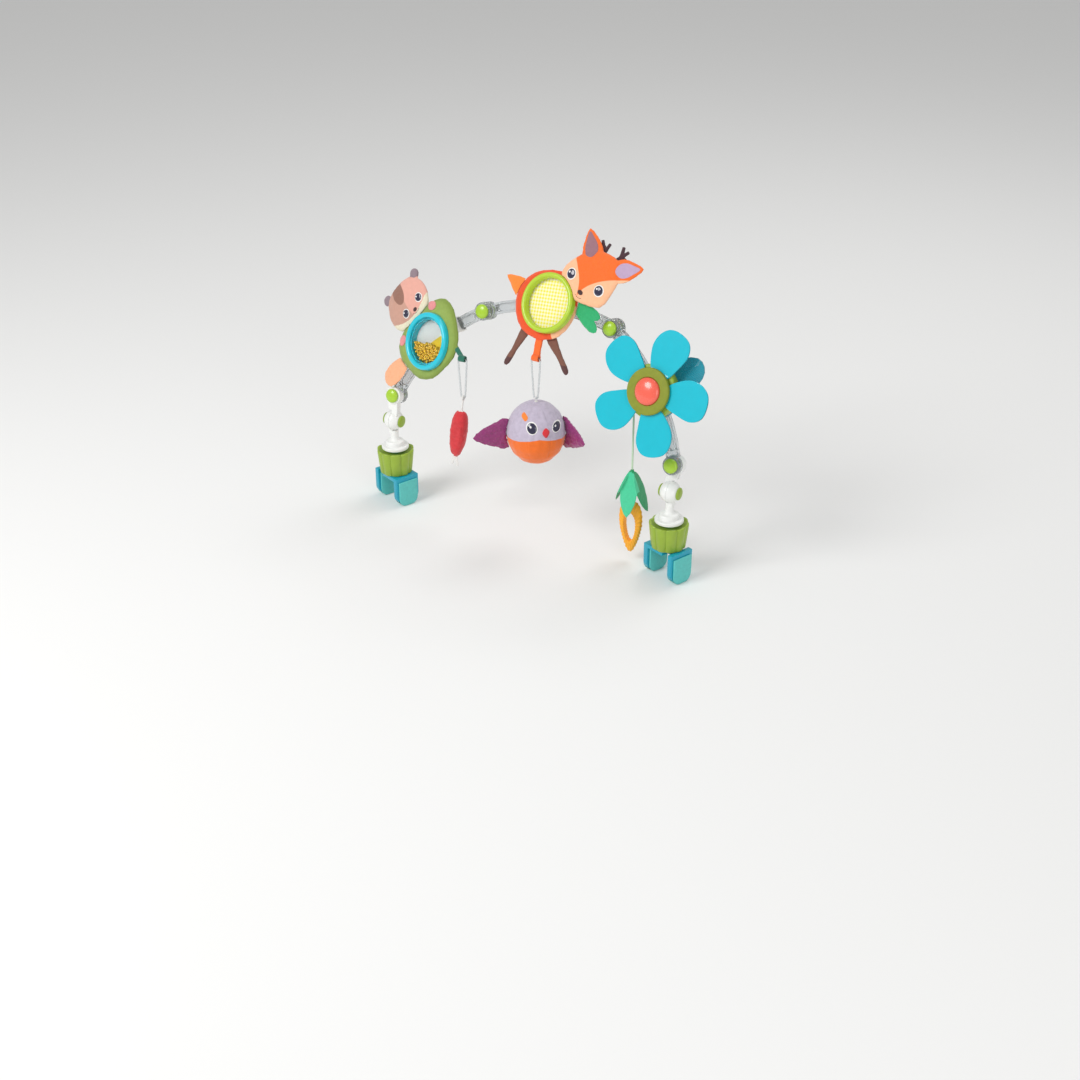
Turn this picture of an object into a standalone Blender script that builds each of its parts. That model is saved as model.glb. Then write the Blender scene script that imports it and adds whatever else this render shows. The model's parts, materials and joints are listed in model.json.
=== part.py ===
# Musical stroller toy: three clear links make an arch between two rail clamps.
# The links carry a bear rattle, a deer and a music flower, with small toys hanging below.
# Metres, +Z up. The origin is the flat seat of the right clamp, where it rests on the rail.
# +X runs along the arch's span, from the left clamp to the right one, and -Y is the front.
import bpy
import bmesh
from math import acos, asin, atan2, ceil, cos, pi, radians, sin
from mathutils import Matrix, Vector

for item in list(bpy.data.objects):
    bpy.data.objects.remove(item, do_unlink=True)

MM = 0.001

# The arch
SPAN = 352 * MM
LEAN = radians(14)
LINK_PITCH = 156 * MM
TOP_LINK_SLOPE = radians(4)
LINK_HALF_ARC = radians(20)
LINK_WIDTH = 13 * MM
LINK_DEPTH = 8 * MM
RAIL_THICKNESS = 2.2 * MM
WEB_THICKNESS = 2 * MM
GAP = 0.3 * MM
OVERRUN = 6 * MM

# The hubs between the links
HUB_RADIUS = 10 * MM
HUB_DEPTH = 16 * MM
PIN_RADIUS = 3 * MM
HUB_CAP_RADIUS = 7.8 * MM
HUB_CAP_RISE = 4.6 * MM

# The clamps
CLAMP_YAW = radians(-20)
THROAT_WIDTH = 26 * MM
JAW_LENGTH = 30 * MM
JAW_WIDTH = 30 * MM
JAW_CORE = 6 * MM
JAW_CORNER = 9 * MM
PAD_WALL = 2.2 * MM
PAD_WIDTH = 25 * MM
PAD_TIP = 3 * MM
SEAT_PLATE = 5 * MM
SEAT_LAND_RISE = 0.6 * MM
SEAT_LAND_INSET = 1 * MM
JAW_TRAVEL_IN = 6 * MM
TONGUE_WIDTH = 16 * MM
TONGUE_THICKNESS = 1.6 * MM
TONGUE_LENGTH = 18 * MM
STEM_RADIUS = 9 * MM
COLLAR_HEIGHT = 28.5 * MM
COLLAR_TOP_RADIUS = 21.5 * MM
COLLAR_FOOT_RADIUS = 18.5 * MM
COLLAR_FLUTES = 10
COLLAR_FLUTE_DEPTH = 1.5 * MM
COLLAR_RIM_RISE = 1.2 * MM
SPIGOT_RADIUS = 6 * MM
SPIGOT_HEIGHT = 8 * MM

# The swivel dome and the ball knuckle over it
DOME_FOOT_RADIUS = 15.5 * MM
DOME_FOOT_HEIGHT = 4 * MM
DOME_STEP_RADIUS = 10.5 * MM
DOME_STEP_HEIGHT = 9.5 * MM
DOME_HEIGHT = 15 * MM
NECK_RADIUS = 4.5 * MM
BALL_RADIUS = 11.5 * MM
BALL_HEIGHT = 69 * MM
BALL_FACE = 9.2 * MM
TILT_CAP_RADIUS = 6.8 * MM
TILT_CAP_RISE = 3 * MM
HUB_RISE = 29 * MM

# Soft pieces
SEAM_EDGE = 1.2 * MM
STRAP_WALL = 1.3 * MM
STRAP_WIDTH = 6 * MM
STRAP_PLACE = 32 * MM
BODY_STANDOFF = 15 * MM
CROWN = 3.6 * MM
DISC_WEB = 5.4 * MM

# The bear and its rattle window
BEAR_LEAN = radians(-15.5)
BEAR_TWIST = radians(-4.5)
BEAR_AXIS = 9 * MM
BEAR_DROP = 5.5 * MM
BEAR_BODY_WIDTH = 96 * MM
BEAR_BODY_HEIGHT = 76 * MM
BEAR_HEAD_WIDTH = 65 * MM
BEAR_HEAD_HEIGHT = 55 * MM
BEAR_HEAD_OFFSET = 2 * MM
BEAR_NECK_OVERLAP = 8 * MM
BEAR_EAR_RADIUS = 7 * MM
BEAR_EAR_SPREAD = 25 * MM
BEAR_EAR_RISE = 22.5 * MM
BEAR_FLAP_LENGTH = 42 * MM
BEAR_FLAP_WIDTH = 25 * MM
BEAR_FLAP_END = 74 * MM
BEAR_FLAP_DROP = 1.5 * MM
RATTLE_RADIUS = 31.8 * MM
RATTLE_RIM = 6 * MM
RATTLE_FRONT = 7 * MM
RATTLE_NECK_WALL = 2.2 * MM
RATTLE_BACK_THICKNESS = 2.6 * MM
RATTLE_FLANGE = 3.8 * MM
LENS_THICKNESS = 1.4 * MM
LENS_RISE = 1.6 * MM
BEAD_DEPTH = 5.4 * MM
BEAD_FILL = 20 * MM

# The deer and its gingham window
DEER_LEAN = radians(-12.5)
DEER_TWIST = radians(-5.5)
DEER_RING_OFFSET = 12 * MM
DEER_RING_RISE = 1.5 * MM
DEER_AXIS = 5.5 * MM
DEER_BODY_WIDTH = 79 * MM
DEER_BODY_HEIGHT = 75 * MM
DEER_HEAD_WIDTH = 68 * MM
DEER_HEAD_HEIGHT = 60 * MM
DEER_HEAD_OFFSET = 57 * MM
DEER_HEAD_RISE = 35 * MM
DEER_HEAD_TURN = radians(-23.5)
DEER_HEAD_FORWARD = 5.5 * MM
DEER_EAR_LENGTH = 34 * MM
DEER_EAR_WIDTH = 26 * MM
ANTLER_RADIUS = 2.3 * MM
ANTLER_LENGTH = 23 * MM
ANTLER_SPREAD = 7 * MM
DEER_TAIL_LENGTH = 26 * MM
DEER_TAIL_WIDTH = 21 * MM
DEER_LEG_LENGTH = 47 * MM
DEER_LEG_WIDTH = 11 * MM
LEG_SET_BACK = 4.85 * MM
SCARF_LENGTH = 45 * MM
SCARF_WIDTH = 13 * MM
WINDOW_RADIUS = 32 * MM
WINDOW_RIM = 5.5 * MM
WINDOW_FRONT = 8 * MM
WINDOW_CLOTH = 1.6 * MM

# The tabs that the hanging toys are clipped to
TAB_WIDTH = 8.4 * MM
TAB_THICKNESS = 2 * MM
TAB_EYE_RADIUS = 2.4 * MM
TAB_EYE_WALL = 1.4 * MM

# The music flower
FLOWER_LEAN = 0
FLOWER_TWIST = radians(-7)
FLOWER_OFFSET = 4 * MM
FLOWER_RISE = 7.5 * MM
CASE_RADIUS = 28.5 * MM
CASE_WALL = 2 * MM
CASE_BACK = 8.5 * MM
CASE_REAR_DEPTH = 5 * MM
CASE_FRONT_DEPTH = 10 * MM
TUBE_RADIUS = 17 * MM
TUBE_RISE = 3.4 * MM
PETAL_COUNT = 5
PETAL_REACH = 67.5 * MM
PETAL_WIDTH = 42 * MM
PETAL_ROOT = 19 * MM
PETAL_THICKNESS = 2.2 * MM
PETAL_CROWN = 3 * MM
PETAL_TURN = radians(34)
PETAL_HUB_RADIUS = 23 * MM
BEZEL_RADIUS = 24.5 * MM
BEZEL_THICKNESS = 3.4 * MM
BUTTON_RADIUS = 14.3 * MM
BUTTON_RISE = 5.6 * MM
BUTTON_SKIRT = 6.2 * MM
BUTTON_TRAVEL = 2 * MM
LEAF_REACH = 59 * MM
LEAF_WIDTH = 32 * MM
LUG_SIZE = 5 * MM
CLIP_LENGTH = 26 * MM
CLIP_WALL = 2.6 * MM
CLIP_LIP = 1.5 * MM
BOARD_RADIUS = 24 * MM
BOARD_THICKNESS = 1.6 * MM
SPEAKER_RADIUS = 9 * MM
SPEAKER_DEPTH = 3.6 * MM
SPEAKER_DROP = 11 * MM
CELL_RADIUS = 5.8 * MM
CELL_HEIGHT = 5.4 * MM
CELL_RISE = 16.6 * MM
CELL_SPREAD = 6.1 * MM
DOOR_MARGIN = 0.5 * MM
SCREW_HEAD_RADIUS = 1.8 * MM
SCREW_SHANK_RADIUS = 0.9 * MM
SCREW_HEAD_HEIGHT = 0.9 * MM
SCREW_LENGTH = 4.4 * MM
SCREW_RISE = 12.2 * MM

# The hanging toys
CLIP_BAR_RADIUS = 1.1 * MM
HANGER_LENGTH = 46 * MM
HANGER_TOP_WIDTH = 13 * MM
HANGER_FOOT_WIDTH = 7.6 * MM
LOOP_EYE_RADIUS = 2 * MM
LOOP_WALL = 1.3 * MM
LOOP_WIDTH = 2.2 * MM
RADISH_CORD = 14.5 * MM
RADISH_SWAY = radians(9.5)
RADISH_LENGTH = 57 * MM
RADISH_WIDTH = 19 * MM
RADISH_THICKNESS = 15 * MM
RADISH_ROOT_LENGTH = 16 * MM
RADISH_ROOT_WIDTH = 3.4 * MM
OWL_RADIUS = 32.5 * MM
OWL_HEIGHT = 71 * MM
OWL_TURN = radians(38)
WING_LENGTH = 40 * MM
WING_WIDTH = 34 * MM
LEFT_WING_SWEEP = radians(6)
RIGHT_WING_SWEEP = radians(-62)
CARROT_CORD_RADIUS = 1 * MM
CARROT_CORD_LENGTH = 66.5 * MM
CARROT_ANCHOR_TURN = radians(-80)
LEAF_SPRIG_LENGTH = 52 * MM
LEAF_SPRIG_WIDTH = 20 * MM
CARROT_RING_LENGTH = 62 * MM
CARROT_RING_WIDTH = 27 * MM
CARROT_BAR_WIDTH = 6.5 * MM
CARROT_BAR_RADIUS = 3.6 * MM


def linear(level):
    """One screen colour level, 0 to 255, as the linear value a shader takes."""
    share = level / 255
    return share / 12.92 if share <= 0.04045 else ((share + 0.055) / 1.055) ** 2.4


def material(name, red, green, blue, roughness, metallic=0.0, alpha=1.0):
    made = bpy.data.materials.new(name)
    made.use_nodes = True
    shader = made.node_tree.nodes["Principled BSDF"]
    colour = (linear(red), linear(green), linear(blue), 1.0)
    shader.inputs["Base Color"].default_value = colour
    shader.inputs["Roughness"].default_value = roughness
    shader.inputs["Metallic"].default_value = metallic
    shader.inputs["Alpha"].default_value = alpha
    made.diffuse_color = colour
    return made


CLEAR = material("clear_plastic", 226, 230, 231, 0.12, alpha=0.4)
WHITE = material("white_plastic", 240, 240, 238, 0.32)
CYAN = material("cyan_plastic", 24, 178, 196, 0.3)
MINT = material("mint_rubber", 112, 200, 186, 0.6)
OLIVE = material("olive_plastic", 146, 176, 56, 0.35)
LIME = material("lime_plastic", 160, 200, 52, 0.3)
TURQUOISE = material("turquoise_plastic", 22, 190, 212, 0.22)
DEEP_OLIVE = material("olive_bezel", 132, 142, 44, 0.5)
CORAL = material("coral_plastic", 238, 104, 82, 0.28)
BEAR_GREEN = material("green_fabric", 152, 178, 92, 0.85)
BEAR_PINK = material("pink_brown_fabric", 198, 148, 132, 0.85)
PEACH = material("peach_fabric", 240, 168, 138, 0.85)
ORANGE = material("orange_fabric", 236, 98, 42, 0.85)
BROWN = material("brown_fabric", 92, 58, 48, 0.85)
LEAF_GREEN = material("green_felt", 44, 168, 116, 0.85)
GINGHAM = material("yellow_gingham", 226, 222, 92, 0.85)
YELLOW = material("yellow_beads", 246, 182, 30, 0.35)
GREY = material("lilac_grey_plush", 178, 172, 186, 0.9)
MAGENTA = material("magenta_fabric", 132, 26, 92, 0.8)
RED = material("red_fabric", 214, 62, 62, 0.85)
AMBER = material("amber_rubber", 246, 164, 36, 0.5)
MINT_CORD = material("pale_green_cord", 190, 214, 190, 0.8)
STEEL = material("steel", 180, 182, 186, 0.3, 1.0)
BOARD_GREEN = material("circuit_board", 24, 96, 60, 0.5)
BLACK = material("black_plastic", 30, 30, 32, 0.5)


def frame(name, parent=None, place=(0, 0, 0), turn=(0, 0, 0)):
    """An empty that carries pieces; its own axes are the pieces' axes."""
    made = bpy.data.objects.new(name, None)
    bpy.context.scene.collection.objects.link(made)
    made.parent = parent
    made.location = place
    made.rotation_euler = turn
    return made


def piece(name, shape, carrier, finish, place=(0, 0, 0), turn=(0, 0, 0)):
    """One named object made from a bmesh, carried by a frame."""
    mesh = bpy.data.meshes.new(name)
    bmesh.ops.triangulate(shape, faces=[f for f in shape.faces if len(f.verts) > 4])
    shape.to_mesh(mesh)
    mesh.shade_smooth()
    mesh.set_sharp_from_angle(angle=radians(38))
    mesh.materials.append(finish)
    made = bpy.data.objects.new(name, mesh)
    bpy.context.scene.collection.objects.link(made)
    made.parent = carrier
    made.location = place
    made.rotation_euler = turn
    return made


def loft(rings, closed=False):
    """Skin a run of equal rings of points; a closed run joins its last ring to its first."""
    shape = bmesh.new()
    rows = [[shape.verts.new(point) for point in ring] for ring in rings]
    pairs = list(zip(rows, rows[1:]))
    if closed:
        pairs.append((rows[-1], rows[0]))
    for low, high in pairs:
        for index, corner in enumerate(low):
            after = (index + 1) % len(low)
            shape.faces.new((corner, low[after], high[after], high[index]))
    if not closed:
        shape.faces.new(rows[0])
        shape.faces.new(rows[-1])
    bmesh.ops.recalc_face_normals(shape, faces=shape.faces)
    return shape


def slab(outline, low, high):
    """Extrude a flat outline of (x, y) points from one height to another."""
    shape = bmesh.new()
    base = shape.faces.new([shape.verts.new((x, y, low)) for x, y in outline])
    grown = bmesh.ops.extrude_face_region(shape, geom=[base])
    risen = [part for part in grown["geom"] if isinstance(part, bmesh.types.BMVert)]
    bmesh.ops.translate(shape, vec=(0, 0, high - low), verts=risen)
    bmesh.ops.recalc_face_normals(shape, faces=shape.faces)
    return shape


def block(low, high):
    """A box between two opposite corners."""
    outline = ((low[0], low[1]), (high[0], low[1]), (high[0], high[1]), (low[0], high[1]))
    return slab(outline, low[2], high[2])


def circle(radius, steps, centre=(0, 0), start=0):
    return [(centre[0] + radius * cos(start + 2 * pi * i / steps),
             centre[1] + radius * sin(start + 2 * pi * i / steps)) for i in range(steps)]


def turned(profile, steps, hollow=False):
    """Spin (radius, height) points about Z. A hollow profile closes on itself."""
    shape = bmesh.new()
    corners = [shape.verts.new((radius, 0, height)) for radius, height in profile]
    edges = [shape.edges.new(pair) for pair in zip(corners, corners[1:])]
    if hollow:
        edges.append(shape.edges.new((corners[-1], corners[0])))
    bmesh.ops.spin(shape, geom=corners + edges, cent=(0, 0, 0), axis=(0, 0, 1), dvec=(0, 0, 0),
                   angle=2 * pi, steps=steps, use_merge=True, use_duplicate=False)
    bmesh.ops.remove_doubles(shape, verts=shape.verts, dist=GAP / 300)
    bmesh.ops.recalc_face_normals(shape, faces=shape.faces)
    return shape


def moved(shape, place=(0, 0, 0), turn=(0, 0, 0)):
    """The same bmesh, turned about X, Y and Z in that order and then moved."""
    spin = Matrix.Rotation(turn[2], 4, "Z") @ Matrix.Rotation(turn[1], 4, "Y")
    spin = spin @ Matrix.Rotation(turn[0], 4, "X")
    bmesh.ops.transform(shape, matrix=Matrix.Translation(place) @ spin, verts=shape.verts)
    return shape


def combined(base, joins=(), cuts=()):
    """Join solids to a base and then cut solids from it, with exact Booleans."""
    scratch = []
    for shape in (base, *joins, *cuts):
        mesh = bpy.data.meshes.new("guide")
        shape.to_mesh(mesh)
        shape.free()
        scratch.append(bpy.data.objects.new("guide", mesh))
        bpy.context.scene.collection.objects.link(scratch[-1])
    host = scratch[0]
    for index, tool in enumerate(scratch[1:]):
        step = host.modifiers.new("step", "BOOLEAN")
        step.operation = "UNION" if index < len(joins) else "DIFFERENCE"
        step.solver = "EXACT"
        step.object = tool
    bpy.context.view_layer.update()
    result = bmesh.new()
    result.from_object(host, bpy.context.evaluated_depsgraph_get())
    for tool in scratch:
        mesh = tool.data
        bpy.data.objects.remove(tool, do_unlink=True)
        bpy.data.meshes.remove(mesh)
    bmesh.ops.remove_doubles(result, verts=result.verts, dist=GAP / 300)
    bmesh.ops.dissolve_degenerate(result, dist=GAP / 300, edges=result.edges)
    return result


def smooth_outline(points, steps):
    """A closed smooth curve through (x, y) points, with a few steps between them."""
    smooth = []
    count = len(points)
    for index in range(count):
        before, start, end, after = (Vector(points[(index + k) % count]) for k in (-1, 0, 1, 2))
        for step in range(steps):
            t = step / steps
            blend = (2 * start + (end - before) * t + (2 * before - 5 * start + 4 * end - after) * t ** 2
                     + (3 * start - before - 3 * end + after) * t ** 3) / 2
            smooth.append((blend.x, blend.y))
    return smooth


def scaled(shares, width, height, centre=(0, 0)):
    """Outline points written as shares of a width and a height, at their real size."""
    return [(centre[0] + width * x, centre[1] + height * y) for x, y in shares]


def mirrored(shares):
    """The right half of an outline, top to bottom, with its left half added."""
    return list(shares) + [(-x, y) for x, y in reversed(shares) if abs(x) > 0]


CROWN_SHARES = ((1.0, 0.0), (0.91, 0.6), (0.62, 0.95))
FLAT_SHARES = ((1.0, 0.0), (0.6, 0.9))


def stuffed(outline, front, back, edge=SEAM_EDGE, grow=0, centre=None, shares=CROWN_SHARES):
    """A sewn or moulded form: a rim of one edge thickness that swells to front and back."""
    middle = Vector(centre) if centre else sum((Vector(p) for p in outline), Vector((0, 0))) / len(outline)
    rings = []
    for side, rise, order in ((-1, back, reversed(shares)), (1, front, shares)):
        for scale, height in order:
            ring = []
            for point in outline:
                arm = Vector(point) - middle
                reach = middle + arm * scale * ((arm.length + grow) / arm.length)
                ring.append((reach.x, reach.y, side * (edge / 2 + grow) + side * rise * height))
            rings.append(ring)
    return loft(rings)


def tube_along(path, radii, sides, closed=False):
    """A round bar along 3-D points; radii are given at each point."""
    count = len(path)
    rings = []
    side = None
    for index in range(count):
        here = Vector(path[index])
        ahead = Vector(path[(index + 1) % count] if closed or index < count - 1 else path[index])
        behind = Vector(path[index - 1] if closed or index else path[index])
        along = (ahead - behind).normalized()
        if side is None:
            side = along.orthogonal().normalized()
        side = (side - along * side.dot(along)).normalized()
        other = along.cross(side)
        rings.append([here + radii[index] * (side * cos(2 * pi * k / sides) + other * sin(2 * pi * k / sides))
                      for k in range(sides)])
    return loft(rings, closed=closed)


# Where the hubs lie, in the arch's own plane: x along the span and y up it, from the right ball
def hub_places():
    """The four hub centres and the three link angles, from the span and the pitch."""
    first = Vector((-SPAN, HUB_RISE))
    top = Vector((cos(TOP_LINK_SLOPE), sin(TOP_LINK_SLOPE))) * LINK_PITCH
    rest = Vector((SPAN, 0)) - top
    spread = acos(rest.length / (2 * LINK_PITCH))
    heading = atan2(rest.y, rest.x)
    angles = (heading + spread, TOP_LINK_SLOPE, heading - spread)
    places = [first]
    for angle in angles:
        places.append(places[-1] + Vector((cos(angle), sin(angle))) * LINK_PITCH)
    return places, angles


HUBS, LINK_ANGLES = hub_places()
LINK_RADIUS = LINK_PITCH / 2 / sin(LINK_HALF_ARC)
LINK_BULGE = LINK_RADIUS * (1 - cos(LINK_HALF_ARC))
SPLIT = GAP / 2
BORE_RADIUS = PIN_RADIUS + GAP

ARCH = frame("arch_plane", place=(0, 0, BALL_HEIGHT), turn=(pi / 2 - LEAN, 0, 0))


# Links: one clear moulding, used three times
def arc_point(turn, radius=LINK_RADIUS):
    """A point on a link's curve; turn is 0 at its middle and runs to both hubs."""
    return (LINK_PITCH / 2 + radius * sin(turn), radius * cos(turn) - LINK_RADIUS * cos(LINK_HALF_ARC))


def arc_band(half_width, start, end, steps, cap_steps=0):
    """The outline of a curved band along the link, with square or half-round ends."""
    stretch = end - start
    outline = [arc_point(start + stretch * i / steps, LINK_RADIUS + half_width) for i in range(steps + 1)]
    for index in range(1, cap_steps):
        swing = pi * index / cap_steps
        outline.append(arc_point(end + half_width * sin(swing) / LINK_RADIUS,
                                 LINK_RADIUS + half_width * cos(swing)))
    outline += [arc_point(end - stretch * i / steps, LINK_RADIUS - half_width) for i in range(steps + 1)]
    for index in range(1, cap_steps):
        swing = pi * index / cap_steps
        outline.append(arc_point(start - half_width * sin(swing) / LINK_RADIUS,
                                 LINK_RADIUS - half_width * cos(swing)))
    return outline


def link_shape():
    hub_turn = LINK_HALF_ARC
    arm_end = hub_turn - (HUB_RADIUS / 2) / LINK_RADIUS
    pocket_end = hub_turn - (HUB_RADIUS + LINK_WIDTH / 2 + RAIL_THICKNESS) / LINK_RADIUS
    arm = slab(arc_band(LINK_WIDTH / 2, -arm_end, arm_end, 8), -LINK_DEPTH / 2, LINK_DEPTH / 2)
    room = HUB_RADIUS + GAP
    deep = LINK_DEPTH / 2 + OVERRUN
    arm = combined(arm, cuts=(slab(circle(room, 20), -SPLIT, deep),
                              slab(circle(room, 20, (LINK_PITCH, 0)), -deep, SPLIT)))
    discs = (slab(circle(HUB_RADIUS, 20), -HUB_DEPTH / 2, -SPLIT),
             slab(circle(HUB_RADIUS, 20, (LINK_PITCH, 0)), SPLIT, HUB_DEPTH / 2))
    pocket = arc_band(LINK_WIDTH / 2 - RAIL_THICKNESS, -pocket_end, pocket_end, 8, 4)
    cuts = [slab(circle(BORE_RADIUS, 12, centre), -HUB_DEPTH, HUB_DEPTH)
            for centre in ((0, 0), (LINK_PITCH, 0))]
    cuts.append(slab(pocket, WEB_THICKNESS / 2, deep))
    cuts.append(slab(pocket, -deep, -WEB_THICKNESS / 2))
    return combined(arm, joins=discs, cuts=cuts)


LINKS = []
for link_name, hub, angle in zip(("left_link", "middle_link", "right_link"), HUBS, LINK_ANGLES):
    LINKS.append(frame(link_name + "_frame", ARCH, (hub.x, hub.y, 0), (0, 0, angle)))
    piece(link_name, link_shape(), LINKS[-1], CLEAR)


def rivet(cap_radius, cap_rise, half_grip):
    """A pin with a domed cap on each end, along Z."""
    dome = [(cap_radius * cos(pi / 2 * k / 3), half_grip + GAP + cap_rise * (0.3 + 0.7 * sin(pi / 2 * k / 3)))
            for k in range(4)]
    upper = [(PIN_RADIUS, half_grip + GAP), (cap_radius, half_grip + GAP), *dome]
    lower = [(radius, -height) for radius, height in reversed(upper)]
    return turned(lower + upper, 12)


for rivet_name, hub in zip(("left_hub_rivet", "left_mid_rivet", "right_mid_rivet", "right_hub_rivet"), HUBS):
    piece(rivet_name, rivet(HUB_CAP_RADIUS, HUB_CAP_RISE, HUB_DEPTH / 2), ARCH, LIME, (hub.x, hub.y, 0))


# Clamps: x runs across the rail, y along it and z up, from the seat on the rail
PAD_INNER = THROAT_WIDTH / 2
CORE_INNER = PAD_INNER + PAD_WALL + GAP
CORE_OUTER = CORE_INNER + JAW_CORE
PAD_OUTER = CORE_OUTER + GAP + PAD_WALL
PLATE_END = PAD_INNER - JAW_TRAVEL_IN - GAP
COLLAR_FOOT = SEAT_PLATE + GAP
COLLAR_TOP = COLLAR_FOOT + COLLAR_HEIGHT
DOME_FOOT = COLLAR_TOP + COLLAR_RIM_RISE / 2 + GAP


def jaw_outline(width, foot, top):
    """A jaw seen from outside the rail: square shoulders and a rounded tip, as (y, z)."""
    corner = min(JAW_CORNER, width / 2)
    outline = [(-width / 2, top)]
    for side, first in ((-1, pi), (1, 1.5 * pi)):
        for k in range(5):
            swing = first + pi / 2 * k / 4
            outline.append((side * (width / 2 - corner) + corner * cos(swing),
                            foot + corner + corner * sin(swing)))
    outline.append((width / 2, top))
    return outline


def across(outline, near, far):
    """Extrude a (y, z) outline along x."""
    shape = slab(outline, near, far)
    bmesh.ops.transform(shape, matrix=Matrix(((0, 0, 1, 0), (1, 0, 0, 0), (0, 1, 0, 0), (0, 0, 0, 1))),
                        verts=shape.verts)
    return shape


def jaw_core(side):
    near, far = sorted((side * CORE_INNER, side * CORE_OUTER))
    return across(jaw_outline(JAW_WIDTH, PAD_TIP + GAP - JAW_LENGTH, SEAT_PLATE), near, far)


def clamp_body():
    """The top plate with a raised land that rests on the rail, the fixed jaw and the screw's stem."""
    half_width = JAW_WIDTH / 2
    land_half = half_width - SEAT_LAND_INSET
    plate = block((-CORE_OUTER, -half_width, SEAT_LAND_RISE), (PLATE_END, half_width, SEAT_PLATE))
    land = block((SEAT_LAND_INSET - PAD_INNER, -land_half, 0),
                 (PLATE_END - SEAT_LAND_INSET, land_half, SEAT_LAND_RISE + GAP))
    stem = turned(((0, SEAT_PLATE / 2), (STEM_RADIUS, SEAT_PLATE / 2), (STEM_RADIUS, COLLAR_TOP),
                   (SPIGOT_RADIUS, COLLAR_TOP), (SPIGOT_RADIUS, DOME_FOOT + SPIGOT_HEIGHT),
                   (0, DOME_FOOT + SPIGOT_HEIGHT)), 24)
    middle = SEAT_PLATE / 2
    slot_half = TONGUE_WIDTH / 2 + GAP
    slot_rise = TONGUE_THICKNESS / 2 + GAP
    slot_start = CORE_INNER - TONGUE_LENGTH - JAW_TRAVEL_IN - GAP
    slot = block((slot_start, -slot_half, middle - slot_rise),
                 (PLATE_END + OVERRUN, slot_half, middle + slot_rise))
    return combined(plate, joins=(land, jaw_core(-1), stem), cuts=(slot,))


def clamp_jaw():
    middle = SEAT_PLATE / 2
    tongue = block((CORE_INNER - TONGUE_LENGTH, -TONGUE_WIDTH / 2, middle - TONGUE_THICKNESS / 2),
                   (CORE_INNER + JAW_CORE / 2, TONGUE_WIDTH / 2, middle + TONGUE_THICKNESS / 2))
    return combined(jaw_core(1), joins=(tongue,))


def jaw_pad(side):
    """A rubber boot over the jaw's tip, open at both edges."""
    near, far = sorted((side * PAD_INNER, side * PAD_OUTER))
    boot = across(jaw_outline(PAD_WIDTH, -JAW_LENGTH, SEAT_LAND_RISE - GAP), near, far)
    low, high = sorted((side * (CORE_INNER - GAP), side * (CORE_OUTER + GAP)))
    return combined(boot, cuts=(block((low, -JAW_WIDTH, PAD_TIP - JAW_LENGTH), (high, JAW_WIDTH, OVERRUN)),))


def screw_collar():
    """The green hand screw: broad flutes, wider at its scalloped top."""
    steps = COLLAR_FLUTES * 4
    bore = STEM_RADIUS + GAP * 1.3

    def ring(radius, height, scallop=0, rim=0):
        points = []
        for k in range(steps):
            swing = 2 * pi * k / steps
            wave = abs(sin(COLLAR_FLUTES * swing / 2))
            reach = radius - scallop * (1 - wave)
            points.append((reach * cos(swing), reach * sin(swing), height + rim * (wave - 1)))
        return points

    shoulder = COLLAR_RIM_RISE
    rings = [ring(COLLAR_FOOT_RADIUS, COLLAR_FOOT, COLLAR_FLUTE_DEPTH),
             ring(COLLAR_TOP_RADIUS, COLLAR_TOP - shoulder, COLLAR_FLUTE_DEPTH),
             ring(COLLAR_TOP_RADIUS - shoulder, COLLAR_TOP, COLLAR_FLUTE_DEPTH, shoulder / 2),
             ring(DOME_FOOT_RADIUS + shoulder, COLLAR_TOP - shoulder),
             ring(bore, COLLAR_TOP - shoulder), ring(bore, COLLAR_FOOT)]
    return loft(rings, closed=True)


def ball_half():
    """Half a ball along +X with a bore on that axis, its split face just off the middle."""
    steps = 4
    last = asin(BALL_FACE / BALL_RADIUS)
    first = asin(SPLIT / BALL_RADIUS)
    skin = [(BALL_RADIUS * cos(first + (last - first) * k / steps),
             BALL_RADIUS * sin(first + (last - first) * k / steps)) for k in range(steps + 1)]
    shape = turned([(BORE_RADIUS, SPLIT), *skin, (BORE_RADIUS, BALL_FACE)], 18, hollow=True)
    return moved(shape, turn=(0, pi / 2, 0))


def swivel_dome():
    """The white stepped dome, its neck and the lower half of the ball; z from the rail seat."""
    foot = DOME_FOOT
    bore = SPIGOT_RADIUS + GAP
    neck_top = BALL_HEIGHT - BALL_RADIUS - GAP
    profile = ((bore, foot), (DOME_FOOT_RADIUS, foot), (DOME_FOOT_RADIUS, foot + DOME_FOOT_HEIGHT * 0.6),
               (DOME_FOOT_RADIUS - CLIP_LIP, foot + DOME_FOOT_HEIGHT),
               (DOME_STEP_RADIUS, foot + DOME_FOOT_HEIGHT),
               (DOME_STEP_RADIUS, foot + DOME_STEP_HEIGHT * 0.85),
               (DOME_STEP_RADIUS - CLIP_LIP, foot + DOME_STEP_HEIGHT),
               (NECK_RADIUS + CLIP_LIP, foot + DOME_HEIGHT * 0.85), (NECK_RADIUS, foot + DOME_HEIGHT),
               (NECK_RADIUS, neck_top), (0, neck_top), (0, foot + SPIGOT_HEIGHT + GAP),
               (bore, foot + SPIGOT_HEIGHT + GAP))
    dome = turned(profile, 18, hollow=True)
    web = block((SPLIT, -NECK_RADIUS, neck_top - NECK_RADIUS),
                (NECK_RADIUS, NECK_RADIUS, BALL_HEIGHT - BORE_RADIUS * 1.6))
    return combined(dome, joins=(web, moved(ball_half(), place=(0, 0, BALL_HEIGHT))))


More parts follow.
